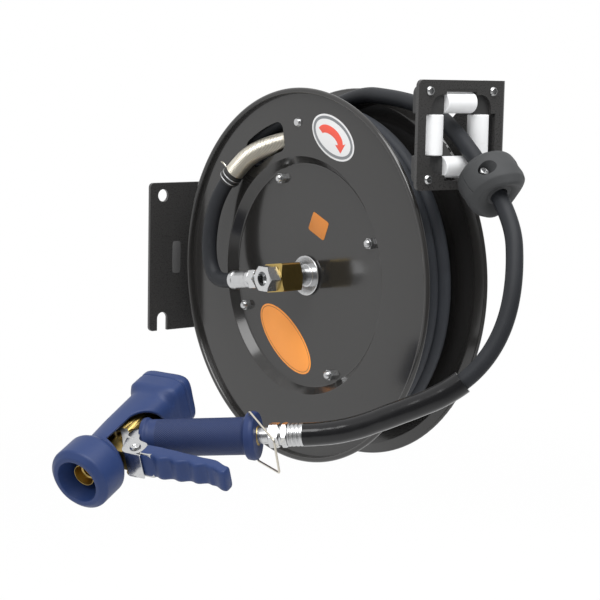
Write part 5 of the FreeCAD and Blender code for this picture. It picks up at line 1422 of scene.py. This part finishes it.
@dataclass
class FreeHose:
    """The hose from the drum through the guide to the gun, with its sleeve, ball stop and end fitting."""

    route: Array = field(default_factory=lambda: np.array([
        (19.5, -147.37, 152.36), (19.5, -227.0, 192.94), (7.0, -319.0, 188.5), (1.0, -371.0, 178.5),
        (-3.5, -417.5, 153.4), (-11.8, -496.3, 83.0), (-30.4, -519.7, 30.0), (-46.8, -524.6, -16.3),
        (-67.8, -515.3, -53.7), (-92.6, -493.6, -80.1), (-119.4, -462.5, -98.1), (-152.42, -419.94, -121.72),
        (-174.416, -391.615, -124.906)]))
    length: float = 725.2
    across: tuple[float, float, float] = (1.0, 0.3, -0.3)
    sleeve_from: tuple[float, float, float] = (-80.2, -504.5, -66.9)
    sleeve_radius: float = 11.25
    ball_place: tuple[float, float, float] = (-8.5, -465.0, 111.0)
    ball_radius: float = 31.0
    ball_length: float = 47.0
    screw_offset: float = 20.0

    def build(self, shop: Workshop) -> None:
        """Makes the hose, its sleeve, the ball stop and the end fitting."""
        line = nurbs_line(self.route, 2.5)
        piece = Skin().tube(line, HOSE_RADIUS, self.across, 28).mesh("free_hose")
        shop.dress(piece, "hose_rubber", "root", ("hose_free",))
        sleeve = self.sleeve(line)
        shop.dress(sleeve, "sleeve_plastic", "root", ("hose_sleeve",))
        ball = self.ball()
        shop.dress(ball, "stop_rubber", "root", ("ball_front_half", "ball_rear_half"))
        screws = self.screws()
        shop.dress(screws, "zinc", "root", ("ball_screws",))
        ferrule = self.ferrule()
        shop.dress(ferrule, "zinc", "root", ("hose_ferrule",))
        adapter = shop.dress_softened("hose_adapter", "hose_adapter_plated", 0.3, "bright_steel", "root")

    def sleeve(self, line: Array) -> bpy.types.Object:
        """Loose sleeve along the hose's line, its radius eased by two slow waves."""
        start = nearest(line, np.array(self.sleeve_from))
        middle = even(line, 2.5, start)
        along = lengths(middle)
        wave = 0.12 * np.sin(along / 9.0) + 0.08 * np.sin(along / 4.1 + 1.0)
        radius = self.sleeve_radius + np.minimum(wave, 0.1)
        return Skin().tube(middle, radius, self.across, 40, HOSE_RADIUS + 0.2).mesh("hose_sleeve_glossy")

    def ball_axis(self) -> Line:
        """Line along the hose through the ball's centre; its first direction crosses the halves' joint."""
        return Line.through(self.ball_place, self.route[5] - self.route[4], Z_AXIS)

    def screws(self) -> bpy.types.Object:
        """The two screws that clamp the halves, with tall socket heads in their pockets."""
        axis = self.ball_axis()
        profile = rounded([(-9.5, 0.3, 0), (-9.5, 2.5, 0.4), (10.0, 2.5, 0), (10.0, 4.4, 0), (18.6, 4.4, 0.6),
                           (18.6, 2.4, 0.2), (16.4, 2.4, 0), (16.4, 0.3, 0)], closed=False, steps=3)
        skin = Skin()
        for sign in (-1.0, 1.0):
            place = np.array(self.ball_place) + np.cross(axis.along, axis.first) * (sign * self.screw_offset)
            skin.turned(Line.through(place, axis.first, axis.along), profile, bored=False, count=40)
        return skin.mesh("ball_screws_socket", 40.0)

    def ball(self) -> bpy.types.Object:
        """Rounded stop turned about the hose: a smooth back, a wavy lip and a deep dish in front.

        The lip's place along the axis moves by cos 2t and its radius by a little less, so the front edge
        waves twice round; pockets for the screws and the joint of the halves are cut from it.
        """
        axis = self.ball_axis()
        half, radius, bore = self.ball_length / 2, self.ball_radius, HOSE_RADIUS + 0.2
        profile = filled(rounded([
            (-half, bore, 0), (-half, radius - 11, 4.0), (-half + 8, radius - 1, 9.0), (2, radius, 30.0),
            (half - 9, radius - 1.5, 5.0), (half - 0.5, radius - 8, 4.0), (half - 4, radius - 13, 2.5),
            (half - 9, bore + 4, 1.5), (half - 9, bore, 0)], steps=8), 1.2)

        def wavy(along: Array, reach: Array, turn: Array) -> tuple[Array, Array]:
            """Front edge drawn back where the halves meet."""
            front = smooth(2.0, half, along) * smooth(bore + 2.0, radius - 8.0, reach)
            dip = 0.5 - 0.5 * np.cos(2 * turn)
            return along - front * dip * 7.0, reach - front * dip * 1.2

        ball = Skin().turned(axis, profile, warp=wavy, count=120).mesh("ball_stop", 50.0)
        split = axis.first
        across = np.cross(axis.along, split)
        for side in (-1.0, 1.0):
            cutter = Skin()
            for sign in (-1.0, 1.0):
                seat = np.array(self.ball_place) + across * (sign * self.screw_offset) + split * (side * 10.0)
                cutter.turned(Line.through(seat, split * side, axis.along),
                              np.array([(0.0, 6.0), (8.0, 6.6), (40.0, 10.0)]), bored=False, count=40)
            carve(ball, cutter.mesh("pocket_cutter"), 50.0)
        groove = Skin().slab(ellipse(60.0, 60.0, 8, 8.0), axis.start, axis.along, across, -0.25, 0.25, 0.01)
        inside = np.array([(-60.0, 0.5), (-60.0, radius - 2.2), (60.0, radius - 2.2), (60.0, 0.5)])
        blade = groove.mesh("groove_cutter")
        carve(blade, Skin().turned(axis, inside, bored=False, count=64).mesh("groove_keep"))
        carve(ball, blade, 50.0)
        return ball

    def ferrule(self) -> bpy.types.Object:
        """Crimped ferrule on the hose's end: a turned sleeve with three pressed grooves."""
        axis = Line.through(self.route[-1], self.route[-1] - self.route[-2], Z_AXIS)
        reach = 15.3
        corners: list[Corner] = [(0, 5.0, 0), (0, 11.0, 0.6)]
        for place in (4.0, 8.0, 12.0):
            corners += [(place - 1.0, 11.0, 0.25), (place - 0.4, 10.4, 0.2), (place + 0.4, 10.4, 0.2),
                        (place + 1.0, 11.0, 0.25)]
        corners += [(reach, 11.0, 1.0), (reach, 5.0, 0)]
        return Skin().turned(axis, rounded(corners, steps=3), count=72).mesh("hose_ferrule_crimped")


# Spray gun

@dataclass
class SprayGun:
    """Rubber-covered wash-down gun: f runs along the barrel, h towards the handle and w across."""

    end: tuple[float, float, float] = (-201.3, -357.0, -128.8)
    handle_along: tuple[float, float, float] = (0.611, -0.7867, 0.0885)
    barrel_along: tuple[float, float, float] = (-0.8758, -0.308, -0.3716)
    handle_start: float = 16.4
    handle_length: float = 118.7
    bumper_start: float = 38.8
    bumper_reach: float = 38.7
    bumper_radius: float = 31.7
    cover_front: float = 38.0
    cover_rear: float = 88.0
    block_half: tuple[float, float] = (28.0, 26.0)
    block_groove: float = -76.0
    cavity_rear: float = 62.3
    cover_wall: float = 3.5
    window: tuple[float, float] = (-40.0, 34.0)
    window_half_degrees: float = 77.0
    edge: float = 0.35
    lever_inset: float = 2.4
    bracket_inner: float = 13.0
    bracket_outer: float = 15.2
    lever_pivot: tuple[float, float] = (27.0, 36.0)

    def __post_init__(self) -> None:
        """Works out the gun's axes and where the barrel's line meets the handle's."""
        self.h_line = unit(self.handle_along)
        self.f_axis = unit(self.barrel_along)
        self.h_axis = unit(self.h_line - self.f_axis * (self.h_line @ self.f_axis))
        self.w_axis = np.cross(self.f_axis, self.h_axis)
        self.joint = np.array(self.end) - self.h_line * (self.handle_start + self.handle_length)

    def at(self, f: Array | float, h: Array | float, w: Array | float = 0.0) -> Array:
        """Points at f along the barrel, h towards the handle and w across."""
        f, h, w = np.broadcast_arrays(f, h, w)
        along, towards = f[..., None] * self.f_axis, h[..., None] * self.h_axis
        return self.joint + along + towards + w[..., None] * self.w_axis

    def barrel_line(self, f: float) -> Line:
        """The barrel's axis from f on."""
        return Line.through(self.at(f, 0.0), self.f_axis, self.h_axis)

    def build(self, shop: Workshop) -> None:
        """Makes the rubber covers and dresses the metal parts."""
        shop.dress(self.bumper(), "blue_rubber", "root", ("front_bumper",))
        shop.dress(self.cover(), "blue_rubber", "root", ("barrel_cover",))
        shop.dress(self.grip(), "blue_knurled", "root", ("grip_sleeve",))
        shop.dress(self.lever(), "blue_rubber", "gun_lever", ("lever_grip",))
        bracket = softened("lever_bracket", "lever_bracket_polished", self.edge)
        self.draw_in(bracket)
        shop.dress(bracket, "stainless", "gun_lever", ("lever_bracket",))
        shop.dress(self.ears(), "bright_steel", "gun_lever")
        body = softened("gun_body", "gun_body_turned", self.edge)
        self.slim(body)
        shop.dress(body, "brass", "root", ("gun_body",))
        shop.dress_nodes("brass", "gun_nozzle")
        shop.dress(self.mouth(), "brass", "root")
        shop.dress_nodes("stainless", "valve_stem")
        shop.dress(self.pin(), "bright_steel", "root", ("lever_pin",))
        shop.dress_nodes("spring_steel", "bail")

    def bumper(self) -> bpy.types.Object:
        """Front bumper: a turned rubber ring with a deep cup round the nozzle and a fine shoulder line."""
        reach, radius = self.bumper_reach, self.bumper_radius
        profile = rounded([(0, 12.2, 0), (0, radius - 4, 4.0), (6, radius, 7.0), (reach - 5, radius, 4.0),
                           (reach - 0.6, radius - 5.2, 1.2), (reach, radius - 6.6, 0.6), (reach, 21.5, 1.2),
                           (reach - 30, 14.5, 2.0), (reach - 30, 12.2, 0)], steps=8)
        line = self.barrel_line(self.bumper_start)
        return Skin().turned(line, profile, count=120).mesh("front_bumper_moulded", 40.0)

    def slim(self, body: bpy.types.Object) -> None:
        """Cuts the body's sides back beside the drawn-in bracket, wherever the bracket swings."""
        outline = np.array([(0.0, 4.0), (8.0, -4.0), (30.0, -4.0), (38.0, 4.0), (38.0, 60.0), (0.0, 60.0)])
        low = self.bracket_inner - self.lever_inset - 0.4
        cutter = Skin().both_sides(outline, self.joint, self.f_axis, self.h_axis, low, 30.0)
        carve(body, cutter.mesh("side_cutter"), 28.0)

    def draw_in(self, piece: bpy.types.Object) -> None:
        """Moves a piece's sides nearer to the gun's middle plane, above the barrel.

        The new w is w less the sign of w times the inset, eased in by a smooth step as h goes from 6 to 13.
        """
        places = np.empty(len(piece.data.vertices) * 3, np.float32)
        piece.data.vertices.foreach_get("co", places)
        places = places.reshape(-1, 3) / MM
        h, w = (places - self.joint) @ self.h_axis, (places - self.joint) @ self.w_axis
        moved = -np.sign(w) * self.lever_inset * smooth(6.0, 13.0, h)
        places = places + moved[:, None] * self.w_axis
        piece.data.vertices.foreach_set("co", (places * MM).ravel().astype(np.float32))
        piece.data.update()

    def ears(self) -> bpy.types.Object:
        """Polished plates of the lever: a lobe with an arm back on each side, and a web in front."""
        outline = rounded([(-3.0, 17.0, 2.5), (6.0, 14.5, 5.0), (37.0, 25.0, 10.0), (37.0, 45.5, 9.0),
                           (17.5, 45.5, 7.0), (14.0, 31.0, 9.0), (-3.0, 22.5, 2.5)])
        inner = self.bracket_outer - self.lever_inset - 0.4
        skin = Skin().both_sides(outline, self.joint, self.f_axis, self.h_axis, inner, inner + 1.2, 0.4)
        half = inner + 0.8
        web = rounded([(29.0, -half, 2.5), (47.0, -half, 0.5), (47.0, half, 0.5), (29.0, half, 2.5)], steps=3)
        skin.slab(web, self.joint, self.h_axis, self.w_axis, 35.4, 36.8, 0.4)
        return skin.mesh("lever_bracket_ears", 40.0)

    def mouth(self) -> bpy.types.Object:
        """Bell mouth on the nozzle's front: a thin turned ring that flares towards the cup's rim."""
        profile = rounded([(54.6, 7.0, 0), (54.6, 10.4, 0.4), (57.0, 10.4, 0.6), (65.4, 11.3, 0.5),
                           (65.8, 10.2, 0.3), (57.5, 8.6, 1.0), (56.6, 7.0, 0)], steps=4)
        return Skin().turned(self.barrel_line(0.0), profile, count=72).mesh("nozzle_mouth", 40.0)

    def opening(self, f: Array) -> Array:
        """Half angle of the cover's opening: 0 outside the window, eased to its full width inside it."""
        rear, front = self.window
        full = math.radians(self.window_half_degrees)
        from_rear = np.sin(np.clip((f - rear) / 34.0, 0, 1) * math.pi / 2) ** 0.8
        from_front = np.sqrt(np.clip(1 - np.clip((f - front + 4.5) / 4.5, 0, 1) ** 2, 0, 1))
        return full * np.where((f > rear) & (f < front), from_rear * from_front, 0.0)

    def section(self, f: Array, turn: Array) -> Array:
        """Outer reach of the cover at f and an angle from +h: a round neck, flattened on its w faces.

        It blends by a smooth step into the rear bumper's rounded square, whose edges are eased at its back.
        """
        share = (self.cover_front - f) / 110.0
        neck = 22.5 + 2.5 * share
        flat = (np.abs(np.cos(turn) / neck) ** 2.6 + np.abs(np.sin(turn) / (neck - 1.6)) ** 2.6) ** (-1 / 2.6)
        neck = neck + (flat - neck) * smooth(self.cover_front, self.cover_front - 45, f)
        half_h, half_w = self.block_half
        square = (np.abs(np.cos(turn) / half_h) ** 5 + np.abs(np.sin(turn) / half_w) ** 5) ** (-1 / 5)
        block = smooth(-50.0, -60.0, f)
        back = np.clip((-f - (self.cover_rear - 6.0)) / 6.0, 0, 1)
        eased = square - 6.0 * (1 - np.sqrt(np.clip(1 - back ** 2, 0, 1)))
        groove = 0.9 * np.exp(-((f - self.block_groove) / 0.9) ** 2)
        return neck + (eased - neck) * block - groove * block

    def cover(self) -> bpy.types.Object:
        """Barrel cover: a loft of sections round the barrel, hollow, with a curved opening at the handle.

        Each row is a closed loop: outside from one edge of the opening round to the other, a half-round
        edge, inside back again and the other edge. Rows without an opening meet at a seam and are merged.
        """
        rear, front = self.window
        rows = np.concatenate([np.linspace(self.cover_front, front, 4), front - 4.5 * (1 - np.cos(
            np.linspace(0.15, math.pi / 2, 9))), np.linspace(front - 6, rear + 1, 40),
            [rear + 0.4, rear], np.linspace(rear - 1.5, -self.cavity_rear, 8)])
        wall, columns = self.cover_wall, 72
        half = self.opening(rows)[:, None]
        share = np.linspace(0, 1, columns)[None]
        turn = half + share * (TURN - 2 * half)
        f = np.broadcast_to(rows[:, None], turn.shape)
        outer = self.section(f, turn)
        edge = np.radians([45.0, 90.0, 135.0])[None]
        open_row = half > 1e-6

        def rim(start: Array, side: float) -> tuple[Array, Array]:
            """Half-round edge of the sheet: reach and angle."""
            size = (len(rows), 3)
            base = self.section(np.broadcast_to(rows[:, None], size), np.broadcast_to(start, size))
            reach = base - wall / 2 + np.cos(edge) * wall / 2
            return reach, start + side * np.where(open_row, np.sin(edge) * wall / 2 / base, 0.0)

        left_reach, left_turn = rim(TURN - half, 1.0)
        right_reach, right_turn = rim(half, -1.0)
        reach = np.concatenate([outer, left_reach, (outer - wall)[:, ::-1], right_reach[:, ::-1]], axis=1)
        angle = np.concatenate([turn, left_turn, turn[:, ::-1], right_turn[:, ::-1]], axis=1)
        loops = self.at(rows[:, None], reach * np.cos(angle), reach * np.sin(angle))
        keep = np.ones(loops.shape[:2], bool)
        shut = ~(open_row[:, 0] | np.roll(open_row[:, 0], -1))
        for column in [*range(columns - 1, columns + 3), *range(2 * columns + 2, 2 * columns + 6)]:
            keep[shut, column] = False
        skin = Skin()
        index = skin.grid(loops, keep=keep)
        inner = slice(columns + 3, 2 * columns + 3)
        front_ring = np.stack([loops[0, :columns], loops[0, inner][::-1]])
        skin.grid(front_ring, ring=False)
        skin.cap(index[-1, inner][:-1])
        back = np.concatenate([np.linspace(-self.cavity_rear, -74.0, 12), np.linspace(-74.4, -77.6, 12),
                               np.linspace(-79.0, 6.0 - self.cover_rear, 3),
                               6.0 - self.cover_rear - 6.0 * np.sin(np.linspace(0.15, math.pi / 2, 9))])
        turn = np.broadcast_to(share * TURN, (len(back), columns))
        reach = self.section(np.broadcast_to(back[:, None], turn.shape), turn)
        body = skin.grid(self.at(back[:, None], reach * np.cos(turn), reach * np.sin(turn)), ring=False)
        skin.cap(body[-1, :-1])
        return skin.mesh("barrel_cover_moulded", 48.0)

    def grip(self) -> bpy.types.Object:
        """Grip sleeve: turned about the handle, with a collar at each end and a knurled middle."""
        reach = self.handle_length
        profile = rounded([(4.6, 9.7, 0), (4.6, 19.0, 2.5), (9.5, 20.2, 2.5), (12, 18.4, 1.6),
                           (14, 18.0, 1.0), (reach - 12.5, 18.0, 3.0), (reach - 9.8, 22.6, 2.4),
                           (reach - 4.5, 23.6, 2.4), (reach - 0.4, 22.4, 2.6), (reach - 0.4, 9.7, 0)],
                          steps=7)
        axis = Line.through(self.joint + self.h_line * self.handle_start, self.h_line, self.w_axis)
        grip = Skin().turned(axis, profile).mesh("grip_sleeve_moulded", 40.0)
        core = np.array([(-62.0, 0.5), (-62.0, 12.3), (44.0, 12.3), (44.0, 0.5)])
        cutter = Skin().turned(self.barrel_line(0.0), core, bored=False, count=64)
        carve(grip, cutter.mesh("barrel_cutter"), 40.0)
        return grip

    def lever(self) -> bpy.types.Object:
        """Lever grip: sections along h that enclose the bracket's end, wave for the fingers and flare out.

        Front face f = 34.2 + 1.5 cos(2 pi (h - 66) / 19) near the bracket, back face 15.6; half width 13.4
        there, narrowing to 11.4 at the tip; sections are superellipses of power 5 with rounded ends.
        """
        h = np.concatenate([[43.6, 43.8, 44.3, 45.4], np.linspace(47, 135, 64), [136.2, 137.0, 137.5, 137.7]])
        wave = 1.5 * np.cos((h - 66.0) * TURN / 19.0) * smooth(50.0, 60.0, h) * (1 - smooth(114.0, 122.0, h))
        front = 34.2 + wave - 3.6 * smooth(60.0, 118.0, h) + 4.4 * smooth(122.0, 134.0, h)
        back = 15.6 + 1.4 * smooth(60.0, 110.0, h) + 6.0 * smooth(118.0, 136.0, h)
        start = np.sqrt(np.clip(1 - ((45.4 - np.minimum(h, 45.4)) / 1.9) ** 2, 0, 1))
        stop = np.sqrt(np.clip(1 - ((np.maximum(h, 135.0) - 135.0) / 2.8) ** 2, 0, 1))
        ease = 1.2 * (1 - np.minimum(start, stop))
        width = 13.4 - 2.0 * smooth(50.0, 120.0, h) - ease
        centre, depth = (front + back) / 2, (front - back) / 2 - ease
        outline = ellipse(1.0, 1.0, 64, 5.0)
        f = centre[:, None] + outline[None, :, 0] * depth[:, None]
        w = outline[None, :, 1] * width[:, None]
        skin = Skin()
        skin.capped_grid(self.at(f, h[:, None], w), unwrap=(62.0, 92.0))
        return skin.mesh("lever_grip_moulded", 50.0)

    def pin(self) -> bpy.types.Object:
        """Lever pin: a shank with a domed head at each end, each with a turned dimple."""
        half = self.bracket_outer - self.lever_inset + 1.1
        reach = half + 2.6
        head = [(half, 3.0, 0), (half, 5.4, 0.1), (half + 0.6, 5.5, 0.6), (reach - 0.2, 4.6, 0.4),
                (reach, 2.6, 0.3), (reach - 0.9, 1.8, 0.3), (reach, 0.4, 0)]
        tail = [(-place, radius, bend) for place, radius, bend in reversed(head)]
        profile = rounded(tail + head, closed=False, steps=4)
        axis = Line.through(self.at(*self.lever_pivot), self.w_axis, self.h_axis)
        return Skin().turned(axis, profile, bored=False, count=48).mesh("lever_pin_riveted", 40.0)


def main() -> None:
    """Builds the studio and every sub-assembly in order."""
    logging.basicConfig(level=logging.INFO, format="%(name)s: %(message)s")
    shop = Workshop()
    Studio().build()
    for kind in (FreeHose, Riser, WoundHose, Drum, WallBracket, RollerGuide, Swivel, SprayGun):
        kind().build(shop)
        log.info("%s done", kind.__name__)


if __name__ == "__main__":
    main()
